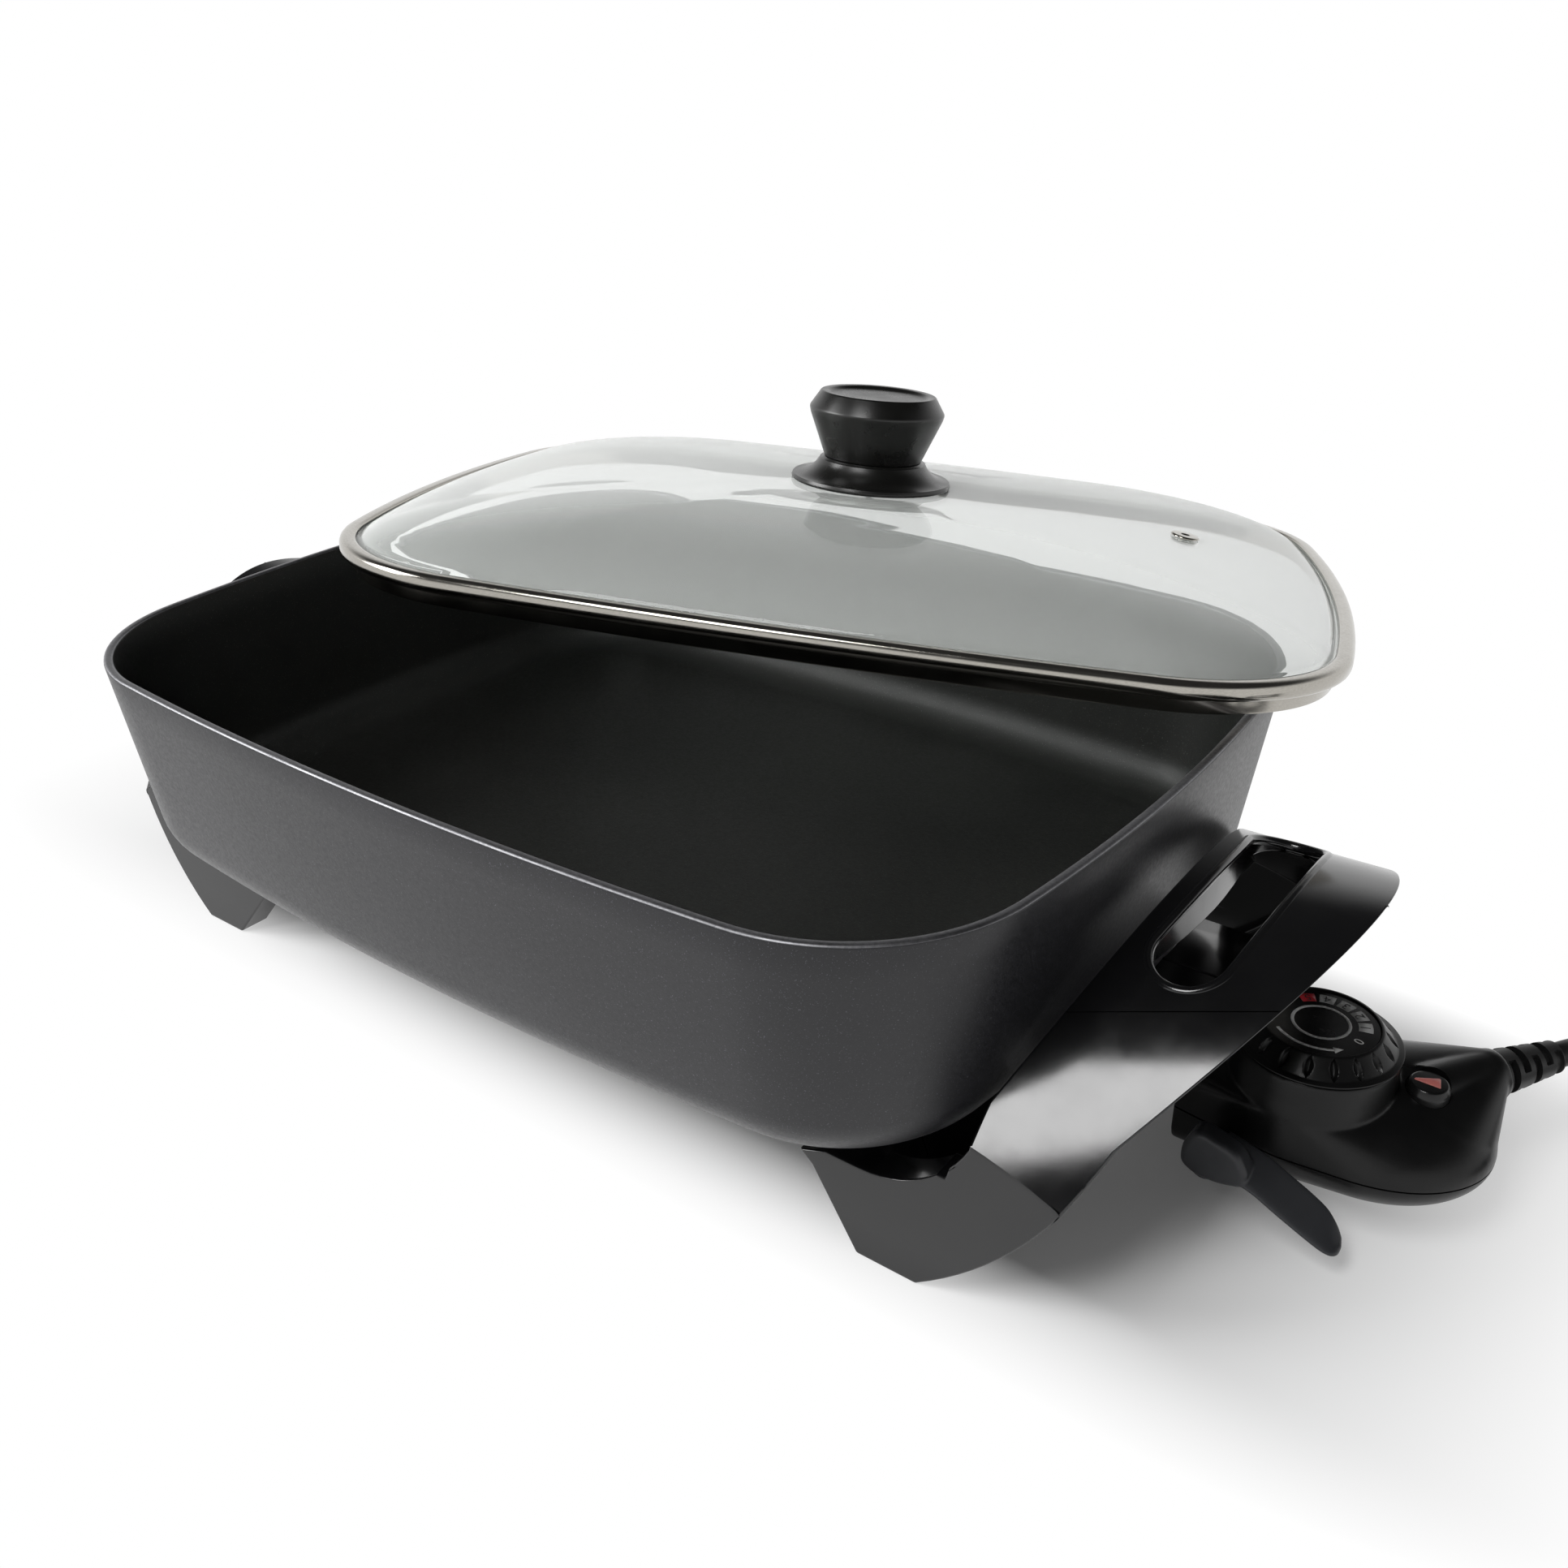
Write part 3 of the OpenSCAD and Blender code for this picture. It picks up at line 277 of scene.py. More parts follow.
def metal(name, dark, light, rough, streak=(1, 1, 1), grain=0.04):
    """Bare metal with fine drawn streaks and a cloudy polish."""
    n = Nodes(name)
    lie = n.add("ShaderNodeMapping", {"Vector": n.where, "Scale": streak}).outputs[0]
    fine = n.noise(900, 3, where=lie)
    n.link(n.mix(n.span(fine, *NOISE_BAND, 0, 1), dark, light), "Base Color")
    n.link(n.span(n.noise(60, 4), *NOISE_BAND, *rough), "Roughness")
    n.link(n.bump(fine, grain, 0.05), "Normal")
    n.fixed(metallic=1.0)
    return n.mat


FLECK_EDGE = 0.06


def speckled(name, dark, light, fleck, share, rough, bump, specular, sheen=0.0):
    """Coating with fine flecks: cloudy ground, sparse bright points, orange-peel bump."""
    n = Nodes(name)
    ground = n.mix(n.span(n.noise(14), *CLOUD_BAND, 0, 1), dark, light)
    fine = n.noise(2100, 2, 0.6)
    flecks = n.span(fine, 1 - share, 1 - share + FLECK_EDGE, 0, 1)
    n.link(n.mix(flecks, ground, fleck), "Base Color")
    n.link(n.span(n.noise(700, 3), *NOISE_BAND, *rough), "Roughness")
    n.link(n.bump(n.noise(1300, 2), bump, 0.12), "Normal")
    n.fixed(specular=specular, sheen=sheen)
    return n.mat


pan_out = speckled(
    "pan_outside", (0.0045, 0.0045, 0.0065), (0.007, 0.007, 0.0095), (0.075, 0.074, 0.09),
    share=0.36, rough=(0.33, 0.45), bump=0.22, specular=0.48, sheen=0.04,
)
pan_in = speckled(
    "pan_inside", (0.008, 0.0083, 0.0075), (0.011, 0.0113, 0.0103), (0.065, 0.065, 0.062),
    share=0.35, rough=(0.34, 0.46), bump=0.3, specular=0.3,
)
rim_mat = metal("pan_rim", (0.16, 0.16, 0.17), (0.24, 0.24, 0.25), (0.35, 0.5))
gloss = moulded("gloss_black", (0.004, 0.004, 0.0045), (0.006, 0.006, 0.0065), (0.13, 0.19), 1.4, 0.015, 0.7)
matte = moulded("matte_black", (0.004, 0.004, 0.0042), (0.006, 0.006, 0.006), (0.27, 0.37), 0.35, 0.1, 0.28)
# The lever's base is lighter than the other black mouldings: painted sheen that stands in for the paddle's
# reflection.
lever_sheen_mat = moulded("lever_black_painted_sheen", (0.032, 0.033, 0.037), (0.04, 0.0415, 0.046), (0.33, 0.43), 0.35, 0.12, 0.35)
knob_mat = moulded("knob_black", (0.005, 0.005, 0.0045), (0.0075, 0.0075, 0.0068), (0.25, 0.34), 0.3, 0.1, 0.5)
rubber = moulded("cord_black", (0.006, 0.006, 0.006), (0.009, 0.009, 0.009), (0.4, 0.52), 0.4, 0.12, 0.4)
face_black = moulded("dial_face", (0.004, 0.004, 0.004), (0.006, 0.006, 0.006), (0.2, 0.28), 0.6, 0.03, 0.4)
steel = metal("ring_steel", (0.36, 0.345, 0.31), (0.45, 0.43, 0.39), (0.12, 0.2), (1, 1, 8))
zinc = metal("screw_steel", (0.45, 0.45, 0.46), (0.58, 0.58, 0.58), (0.25, 0.4))
dark_steel = metal("element_steel", (0.13, 0.125, 0.12), (0.24, 0.235, 0.23), (0.4, 0.6))
cast = metal("bare_aluminium", (0.42, 0.42, 0.43), (0.55, 0.55, 0.55), (0.42, 0.6), grain=0.25)
brass_mat = metal("brass", (0.6, 0.43, 0.18), (0.74, 0.56, 0.27), (0.2, 0.34))
ceramic_mat = moulded("ceramic", (0.62, 0.59, 0.52), (0.74, 0.71, 0.64), (0.35, 0.5), 0.8, 0.1)
print_grey = moulded("print_grey", (0.68, 0.68, 0.67), (0.76, 0.76, 0.75), (0.4, 0.5), 0.3, 0.05)
print_red = moulded("print_red", (0.42, 0.012, 0.022), (0.52, 0.02, 0.03), (0.4, 0.5), 0.3, 0.05)
print_dark = moulded("print_dark", (0.01, 0.01, 0.01), (0.02, 0.02, 0.02), (0.4, 0.5), 0.3, 0.05)

# The last colour is a pale diffuse veil on the glass: painted reflection that stands in for the white surround
# mirrored in it.
GLASS_IOR, GLASS_SHADE, GLASS_PAINTED_VEIL = 1.3, (0.93, 0.95, 0.94, 1), (0.74, 0.76, 0.74, 1)


def glass_material(name, tint, painted_veil=0.0):
    """Clear glass with a share of pale diffuse veil, which is painted reflection of the white surround; the glass
    lets lamp light through to what is under it.
    """
    n = Nodes(name)
    n.shader.inputs["Base Color"].default_value = (*tint, 1)
    n.link(n.span(n.noise(25, 3), *NOISE_BAND, 0.0, 0.025), "Roughness")
    n.link(n.bump(n.noise(9, 1), 0.01, 0.3), "Normal")
    n.fixed(transmission=1.0, ior=GLASS_IOR)
    path = n.add("ShaderNodeLightPath")
    clear = n.add("ShaderNodeBsdfTransparent", {"Color": GLASS_SHADE})
    # Painted reflection: the pale diffuse veil stands in for the white surround mirrored in the glass.
    veil = n.add("ShaderNodeBsdfDiffuse", {"Color": GLASS_PAINTED_VEIL})
    body = n.add("ShaderNodeMixShader", {0: painted_veil, 1: n.shader.outputs[0], 2: veil.outputs[0]})
    blend = n.add("ShaderNodeMixShader", {0: path.outputs["Is Shadow Ray"], 1: body.outputs[0], 2: clear.outputs[0]})
    n.tree.links.new(blend.outputs[0], n.out.inputs["Surface"])
    return n.mat


glass_mat = glass_material("clear_glass", (0.96, 0.975, 0.965), painted_veil=0.26)
lamp_glass = glass_material("lamp_glass", (0.95, 0.85, 0.75))


def lens_material():
    """Cloudy red plastic that lets a little light in."""
    n = Nodes("red_lens")
    n.link(n.mix(n.span(n.noise(300), *NOISE_BAND, 0, 1), (0.62, 0.15, 0.13), (0.72, 0.21, 0.18)), "Base Color")
    n.link(n.span(n.noise(500), *NOISE_BAND, 0.18, 0.3), "Roughness")
    n.link(n.bump(n.noise(900), 0.06, 0.1), "Normal")
    n.fixed(subsurface=0.2)
    return n.mat


red_lens = lens_material()


# STAGE: pale floor that reads white away from the part, a white surround under a dark ceiling, soft light from
# the front and the left; the floor's mix and the lamps are in metres
def seen_rays(n):
    """1 for rays that see the stage itself, also in a gloss or through glass, and 0 for its light on the part."""
    path = n.add("ShaderNodeLightPath")
    seen = path.outputs["Is Camera Ray"]
    for ray in ("Is Glossy Ray", "Is Transmission Ray"):
        seen = n.add("ShaderNodeMath", {0: seen, 1: path.outputs[ray]}, operation="ADD", use_clamp=True).outputs[0]
    return seen


FLOOR_TONE, TONE_SPREAD, FLOOR_OWN = 0.88, 0.02, 0.05
FLOOR_FAR, UNDER_HALF, UNDER_STRETCH = 0.13, (0.235, 0.085, 1), (1, 3, 0)
FLOOR_R, FLOOR_Z, FLOOR_SIDES = 3000, -0.3, 90


def floor_material():
    """Pale floor: lit under the part, and plain white from a little way off."""
    n = Nodes("floor")
    tone = n.mix(n.span(n.noise(1.5), *NOISE_BAND, 0, 1), (FLOOR_TONE,) * 3, (FLOOR_TONE + TONE_SPREAD,) * 3)
    lit = n.add("ShaderNodeBsdfDiffuse", {"Color": tone})
    zero = (0, 0, 0)
    steps = (("ABSOLUTE", zero), ("SUBTRACT", UNDER_HALF), ("MAXIMUM", zero), ("MULTIPLY", UNDER_STRETCH))
    beyond = n.where
    for step, value in steps:
        beyond = n.add("ShaderNodeVectorMath", {0: beyond, 1: value}, operation=step).outputs[0]
    away = n.add("ShaderNodeVectorMath", {0: beyond}, operation="LENGTH").outputs["Value"]
    own = n.span(away, 0, FLOOR_FAR, FLOOR_OWN, 1.0)
    white = n.add("ShaderNodeEmission", {"Strength": 1.0})
    shown = n.add("ShaderNodeMixShader", {0: own, 1: lit.outputs[0], 2: white.outputs[0]})
    blend = n.add("ShaderNodeMixShader", {0: seen_rays(n), 1: lit.outputs[0], 2: shown.outputs[0]})
    n.tree.links.new(blend.outputs[0], n.out.inputs["Surface"])
    n.tree.nodes.remove(n.shader)
    return n.mat


floor_edge = lathe([(FLOOR_R, FLOOR_Z)], FLOOR_SIDES)[0]
floor = make("floor", floor_edge, [tuple(range(FLOOR_SIDES))], [floor_material()])

AMBIENT, SURROUND, CEILING = 0.14, 1.0, 0.04
SURROUND_TOP, CEILING_FROM = 0.2, 0.6
world = bpy.data.worlds.new("world")
scene.world = world
world.use_nodes = True


class World(Nodes):
    """The same helper over the world's node tree."""

    def __init__(self, data):
        self.tree = data.node_tree
        self.shader = self.tree.nodes["Background"]
        self.where = self.tree.nodes.new("ShaderNodeTexCoord").outputs["Generated"]


sky = World(world)
sky.shader.inputs["Color"].default_value = (1, 1, 1, 1)
height = sky.add("ShaderNodeSeparateXYZ", {0: sky.where}).outputs["Z"]
levels = {0: height, 1: SURROUND_TOP, 2: CEILING_FROM, 3: SURROUND, 4: CEILING}
shown = sky.add("ShaderNodeMapRange", levels, interpolation_type="SMOOTHSTEP").outputs[0]
strength = sky.add("ShaderNodeMix", {0: seen_rays(sky), 2: AMBIENT, 3: shown}, data_type="FLOAT")
sky.link(strength.outputs[0], "Strength")


def soft_lamp(name, at, aim, size, watts):
    data = bpy.data.lights.new(name, "AREA")
    data.shape = "RECTANGLE"
    data.size, data.size_y = size
    data.energy = watts
    lamp = linked(name, data)
    lamp.location = at
    lamp.rotation_euler = (Vector(aim) - Vector(at)).to_track_quat("-Z", "Y").to_euler()


soft_lamp("front_box", at=(0, -1.0, 1.3), aim=(0, -1.0, 0), size=(0.5, 0.8), watts=13)
soft_lamp("left_box", at=(-1.3, -0.9, 1.0), aim=(0, 0, 0.08), size=(0.9, 0.9), watts=24)


# LEAD: one cord from the strain relief down to the worktop and into a tied coil, route in metres
CORD_D = 0.0082
cord_r = CORD_D / 2
EXIT_FROM = Vector((280.1, 11.4, 40.5))
EXIT_TURN = math.radians(57)
exit_dir = Vector((math.cos(EXIT_TURN), math.sin(EXIT_TURN), 0))
BOSS_L, RELIEF_L, EXIT_GAP, EXIT_RUN = 30, 23, 0.2, 8
cord_exit = (EXIT_FROM + exit_dir * (BOSS_L + RELIEF_L + EXIT_GAP)) * MM
LAY_GAP = 0.00125
LAY_Z = cord_r + LAY_GAP
COIL_MID = Vector((0.412, 0.066))
COIL_R, COIL_TURNS, COIL_PITCH, COIL_LAYER = 0.046, 1.25, CORD_D + 0.0009, CORD_D + 0.0007
CLIMB_TURN, CLIMB_DIP, LEAD_OUT = 0.5, 0.0016, 0.022
COIL_STEPS, ROUTE_STEPS = 48, 6
ROUTE = [
    (0.3245, 0.084, 0.0365), (0.3335, 0.0955, 0.0315), (0.345, 0.1045, 0.0245), (0.358, 0.1095, 0.0165),
    (0.371, 0.1115, 0.010), (0.384, 0.112, 0.0065), (0.395, 0.112, 0.0055),
]


def coil_point(t):
    """Point of the coil after t turns: inwards on the worktop, up by one layer, and outwards on top."""
    flat_end, climb_end = COIL_TURNS, COIL_TURNS + CLIMB_TURN
    if t < flat_end:
        r, up = COIL_R - COIL_PITCH * t, 0
    elif t < climb_end:
        r = COIL_R - COIL_PITCH * COIL_TURNS - CLIMB_DIP * math.sin(2 * math.pi * (t - flat_end))
        up = COIL_LAYER * (1 - math.cos(2 * math.pi * (t - flat_end))) / 2
    else:
        r, up = COIL_R - COIL_PITCH * (2 * COIL_TURNS + CLIMB_TURN - t), COIL_LAYER
    a = math.pi / 2 - 2 * math.pi * t
    return Vector((COIL_MID.x + r * math.cos(a), COIL_MID.y + r * math.sin(a), LAY_Z + up))


coil_count = int((2 * COIL_TURNS + CLIMB_TURN) * COIL_STEPS) + 1
coil = [coil_point(i / COIL_STEPS) for i in range(coil_count)]
coil_in = coil[0] - Vector((CORD_D, 0, 0))
coil_end = coil[-1]
free = smooth_path([cord_exit, cord_exit + exit_dir * EXIT_RUN * MM, *ROUTE, coil_in], ROUTE_STEPS)
lead_line = free + coil + [coil_end + Vector((CORD_D, 0, 0)), coil_end + Vector((LEAD_OUT, 0, 0))]
lead = place(tube("lead", lead_line, cord_r, rubber), "control", ("cord", "cord_coil"))

# Plug at the lead's end: a waisted grip and a head; rows are the place along it, the half width and the half height,
# which for the head is given as what it lacks of plug_half
PLUG_GAP, PLUG_LIFT = 0.1, 0.2
plug_from = coil_end / MM + Vector((LEAD_OUT / MM + PLUG_GAP, 0, 0))
plug_half = coil_end.z / MM - PLUG_LIFT
PLUG_GRIP = [(0, 5, 5), (1, 5.4, 5.4), (4, 5.6, 5.5), (9, 6.6, 6.2), (16, 10, 8)]
PLUG_HEAD = [
    (22, 13, 3.4), (24, 14, 2.6), (25, 16.6, 1.4), (27, 17.7, 0.2), (30, 18, 0), (39, 18, 0), (41.2, 17.6, 0.4),
    (42, 16.6, 1.4),
]


def oval(half_w, half_h, n=48, power=2.6):
    """Ring of a section between an oval and a rectangle."""
    ring = []
    for i in range(n):
        a = 2 * math.pi * i / n
        c, s = [math.copysign(abs(v) ** (2 / power), v) for v in (math.cos(a), math.sin(a))]
        ring.append((half_w * c, half_h * s))
    return ring


plug_rows = PLUG_GRIP + [(x, w, plug_half - less) for x, w, less in PLUG_HEAD]
plug_rings = [
    [(plug_from.x + x, plug_from.y + y, plug_from.z + z) for y, z in oval(w, h)] for x, w, h in plug_rows
]
plug = place(make("plug", *skin(plug_rings), [rubber], sharp=50), "control", ("plug_body",))


# PAN
def arc_points(c, r, a0, a1, n):
    turns = [a0 + (a1 - a0) * i / n for i in range(n + 1)]
    return [(c[0] + r * math.cos(a), c[1] + r * math.sin(a)) for a in turns]


def outline(shape, inset, counts=(10, 24, 14)):
    """Rounded rectangle with bowed sides, inset.

    shape is its half length, half width, corner radius, end bow and side bow.
    """
    hl, hw, rc, be, bs = shape
    ce, cs = Vector((hl - be, 0)), Vector((0, hw - bs))
    d = cs - ce
    l = d.length
    k = (l * l + (be - rc) ** 2 - (bs - rc) ** 2) / (2 * l)
    h = math.sqrt((be - rc) ** 2 - k * k)
    c = ce + d / l * k + Vector((-d.y, d.x)) / l * h
    if c.x < 0 or c.y < 0:
        c = ce + d / l * k - Vector((-d.y, d.x)) / l * h
    a_end = math.atan2(c.y, c.x - ce.x)
    a_side = math.atan2(c.y - cs.y, c.x)
    q = arc_points(ce, be - inset, 0, a_end, counts[0])[:-1]
    q += arc_points(c, rc - inset, a_end, a_side, counts[1])[:-1]
    q += arc_points(cs, bs - inset, a_side, math.pi / 2, counts[2])
    n = len(q)
    return (
        q + [(-q[i][0], q[i][1]) for i in range(n - 2, -1, -1)] + [(-q[i][0], -q[i][1]) for i in range(1, n)]
        + [(q[i][0], -q[i][1]) for i in range(n - 2, 0, -1)]
    )


def at_z(points, z):
    return [(x, y, z) for x, y in points]


PAN = (200, 155, 66, 735, 1490)
RIM_Z, BASE_Z, BASE_T, WALL_T, LEAN, EDGE_R = 130, 46, 6, 3.5, 0.13, 22
WALL_ROWS = (80, 100, 118)
RIM_ROWS = [(0.15, 1.2), (0.3, 0.55), (0.75, 0.12), (1.3, 0), (2.4, 0), (3.0, 0.15), (3.4, 0.6), (3.65, 1.2)]
BOSS_X, BOSS_Y = 150, 75


def edge_rows(r, z0, w, n=12):
    """Rows of (inset, z) round the bottom edge, up to where the leaning wall starts."""
    a1 = -math.atan(LEAN)
    zc = z0 + r
    ic = r * math.cos(a1) + w + LEAN * (RIM_Z - zc - r * math.sin(a1))
    turns = [-math.pi / 2 + (a1 + math.pi / 2) * i / n for i in range(n + 1)]
    return [(ic - r * math.cos(a), zc + r * math.sin(a)) for a in turns]


outer = edge_rows(EDGE_R, BASE_Z, 0)
inner = edge_rows(EDGE_R - WALL_T, BASE_Z + BASE_T, WALL_T)
lip = [(i, RIM_Z - down) for i, down in RIM_ROWS]
wall_mid = [(LEAN * (RIM_Z - z), z) for z in WALL_ROWS]
inner_mid = [(WALL_T + LEAN * (RIM_Z - z), z) for z in WALL_ROWS[::-1]]
pan_rows = outer + wall_mid + lip + inner_mid + inner[::-1]
pan_rings = [at_z(outline(PAN, i), z) for i, z in pan_rows]
lip_from = len(outer) + len(wall_mid) + 1
lip_to = lip_from + len(lip) - 3
picks = []
for j in range(len(pan_rows) - 1):
    picks += [0 if j < lip_from else 2 if j < lip_to else 1] * len(pan_rings[0])
picks += [0, 1]
place(make("pan_body", *skin(pan_rings), [pan_out, pan_in, rim_mat], picks, 40), "root", ("pan",))
boss_profile = [(2.15, 44), (2.15, 30.4), (2.5, 30), (6.4, 30), (7, 30.6), (7.05, 44), (8.2, 45.4), (9.5, 46.2)]
for sx in (-1, 1):
    for sy in (-1, 1):
        at = Matrix.Translation((sx * BOSS_X, sy * BOSS_Y, 0))
        boss = make("pan_boss", *skin(lathe(boss_profile, 48), caps=(False, False)), [pan_out], matrix=at)
        place(boss, "root", ())


# END PIECES: the moulding with its edges rounded, its crown shaded as the true cone, and a rolled lip round the
# finger slot. The cone touches both shoulder planes and has the crown's middle line on it.
EDGE_ROUND, EDGE_ANGLE, SLIVER, WELD = 0.8, 25, 0.6, 0.00002
ON_CONE, CONE_FACING = 0.2, 0.985
CROWN_RISE, CROWN_X, CROWN_Z = math.radians(6.2), 203, 102
SHOULDER_RISE, CREASE_Y, CREASE_Z = 0.59, 103.935, 60.5
ridge_z = CREASE_Z + SHOULDER_RISE * CREASE_Y
cone_tilt = math.atan2(math.sin(CROWN_RISE), math.cos(CROWN_RISE) - 1 / math.hypot(1, SHOULDER_RISE))
cone_half = cone_tilt - CROWN_RISE
cone_tip = Vector((CROWN_X + (ridge_z - CROWN_Z) / math.tan(CROWN_RISE), 0, ridge_z))
cone_axis = Vector((-math.cos(cone_tilt), 0, -math.sin(cone_tilt)))


def cone_normal(p, sx):
    """Facing of the crown's cone at a point in mm, and how far the point is off the cone."""
    w = Vector((p.x * sx, p.y, p.z)) - cone_tip
    along = w.dot(cone_axis)
    out = w - cone_axis * along
    n = out.normalized() * math.cos(cone_half) - cone_axis * math.sin(cone_half)
    return Vector((n.x * sx, n.y, n.z)), abs(out.length * math.cos(cone_half) - along * math.sin(cone_half))


def welded(node):
    """Editable copy of a node's mesh with its doubled points joined."""
    bm = bmesh.new()
    bm.from_mesh(nodes[node].data)
    bmesh.ops.remove_doubles(bm, verts=bm.verts, dist=WELD)
    return bm


def rounded_copy(node, name, sx, mat):
    """Copy of a node's mesh with rounded edges, and with the cone's own normals on its crown."""
    mesh = bpy.data.meshes.new(name)
    bm = welded(node)
    bm.to_mesh(mesh)
    bm.free()
    mesh.materials.append(mat)
    mesh.shade_smooth()
    obj = linked(name, mesh)
    bevel = {
        "width": EDGE_ROUND * MM, "segments": 3, "limit_method": "ANGLE", "angle_limit": math.radians(EDGE_ANGLE),
        "use_clamp_overlap": False,
    }
    worked(obj, ("BEVEL", bevel), ("WEIGHTED_NORMAL", {"keep_sharp": True}))
    mesh = obj.data
    facing = [c.vector.copy() for c in mesh.corner_normals]
    for f in mesh.polygons:
        found = [cone_normal(mesh.vertices[i].co / MM, sx) for i in f.vertices]
        sliver = f.area < SLIVER * MM * MM and max(off for _, off in found) < ON_CONE
        for k, (n, off) in zip(f.loop_indices, found):
            if off < ON_CONE and (n.dot(f.normal) > CONE_FACING or sliver):
                facing[k] = n
    mesh.normals_split_custom_set(facing)
    return obj


SLOT_OUT, SLOT_HALF, SLOT_LOW = 250, 62, 85
CROWN_UP, WALL_UP = 0.6, 0.4
LIP_R, LIP_IN = 1.75, 1.2


def slot_loop(node):
    """Points in order along the upper edge of the finger slot."""
    bm = welded(node)
    ends = {}
    for e in bm.edges:
        mid = (e.verts[0].co + e.verts[1].co) / 2 / MM
        up = sorted(f.normal.z for f in e.link_faces)
        near = abs(mid.x) < SLOT_OUT and abs(mid.y) < SLOT_HALF and mid.z > SLOT_LOW
        if near and up[-1] > CROWN_UP and abs(up[0]) < WALL_UP:
            for v in e.verts:
                ends.setdefault(v, []).append(e.other_vert(v))
    first = max(ends, key=lambda v: abs(v.co.x))
    loop, before = [first], None
    while True:
        step = [w for w in ends[loop[-1]] if w != before]
        before = loop[-1]
        if step[0] == first:
            break
        loop.append(step[0])
    points = [v.co / MM for v in loop]
    bm.free()
    return points


def slot_lip(node, name, sx):
    """Rolled lip: a bar that lies in the slot's upper edge."""
    loop = slot_loop(node)
    mid = sum(loop, Vector()) / len(loop)
    line = []
    for i, p in enumerate(loop):
        up = cone_normal(p, sx)[0]
        out = (loop[(i + 1) % len(loop)] - loop[i - 1]).cross(up).normalized()
        out = out if out.dot(p - mid) > 0 else -out
        line.append((p - up * LIP_IN + out * LIP_IN) * MM)
    return tube(name, line, LIP_R * MM, gloss, closed=True, resolution=5)


for side, sx in (("right", 1), ("left", -1)):
    node = "end_piece_" + side
    place(rounded_copy(node, "moulding_" + side, sx, gloss), "root", (node,))
    place(slot_lip(node, "slot_lip_" + side, sx), "root", ())

# Hood over the terminals: it closes the view down through the finger slot, and has one fine rib across. Its dark
# gloss is partly painted shade: it stands in for the deep shade under the slot, which the lamps alone leave too
# light.
HOOD_X, HOOD_Y, HOOD_Z = (188.1, 222), (-48, 60), (43.6, 46.6)
HOOD_TRIM, HOOD_ROUND = 0.8, 1.0
RIB_Y, RIB_FOOT, RIB_TOP, RIB_H = 27, 0.7, 0.3, 0.5


def hood_ring(y, trim, rise):
    """Section of the plate at one y, drawn in by trim and with its top raised."""
    x0, x1 = HOOD_X[0] + trim, HOOD_X[1] - trim
    z0, z1 = HOOD_Z[0] + trim, HOOD_Z[1] - trim + rise
    corners = [(x0, z0), (x1, z0), (x1, z1), (x0, z1)]
    return [(x, y, z) for x, z in rounded(corners + corners[:2], HOOD_ROUND, 4)[4:-1]]


hood_rows = [
    (HOOD_Y[0], HOOD_TRIM, 0), (HOOD_Y[0] + 1, 0, 0), (RIB_Y - RIB_FOOT, 0, 0), (RIB_Y - RIB_TOP, 0, RIB_H),
    (RIB_Y + RIB_TOP, 0, RIB_H), (RIB_Y + RIB_FOOT, 0, 0), (HOOD_Y[1] - 1, 0, 0), (HOOD_Y[1], HOOD_TRIM, 0),
]
hood = make("terminal_hood_and_shade", *skin([hood_ring(*row) for row in hood_rows]), [gloss], sharp=40)
place(hood, "root", ())

# LID: lofted glass and ring in the lid's own frame, then set down askew on the rim
LID_AT, LID_TURN = (-1.6, 121.4, 135.7), (-5.69, 3.4, 22.58)
LID_POSE = Matrix.Translation(LID_AT) @ Euler([math.radians(a) for a in LID_TURN]).to_matrix().to_4x4()
LID, LID_COUNTS = (200, 157, 73, 637, 1856), (14, 30, 18)
GLASS_IN, GLASS_FLANGE, GLASS_T, FLANGE_MID = 3, 5, 4, 6.5
CROWN_H, DOME_BOW, DOME_FALL = 24, 2.2, 0.625
ROUND_FROM, ROUND_OVER, ROUND_SHARE, ROUND_DOWN = 0.42, 0.26, 0.9, 0.1
DOME_ROWS = [
    1, 0.995, 0.985, 0.97, 0.95, 0.92, 0.88, 0.83, 0.77, 0.7, 0.62, 0.54, 0.46, 0.4, 0.35, 0.3, 0.26, 0.22, 0.19,
    0.12, 0.05, 0.03,
]
ring_profile = [
    (6.3, 2.35), (6.25, 2.8), (5.7, 3.2), (4.6, 3.3), (3, 3.3), (1.8, 3.15), (0.95, 2.75), (0.35, 2.05),
    (0.05, 1.1), (0, 0), (0.05, -1.1), (0.35, -2.1), (0.95, -2.8), (1.8, -3.2), (3, -3.35), (4.3, -3.4),
    (4.85, -3.75), (5.0, -4.5), (5.15, -8.4), (5.35, -8.9), (5.8, -9), (6.3, -8.85), (6.5, -8.3), (6.5, -2.35),
    (2.7, -2.35), (2.7, 2.35),
]


def lid_ring_at(inset, z):
    return at_z(outline(LID, inset, LID_COUNTS), z)


lid_band = [lid_ring_at(i, z) for i, z in ring_profile]
ring = make("lid_band", *skin(lid_band, closed=True), [steel], sharp=50, matrix=LID_POSE)
place(ring, "lid", ("lid_ring",))

glass_rim = outline(LID, GLASS_IN + GLASS_FLANGE, LID_COUNTS)
dome_half = LID[0] - GLASS_IN - GLASS_FLANGE


def dome(s):
    """Height of the dome at a share of the way out."""
    return CROWN_H * (1 - s ** DOME_BOW) ** DOME_FALL


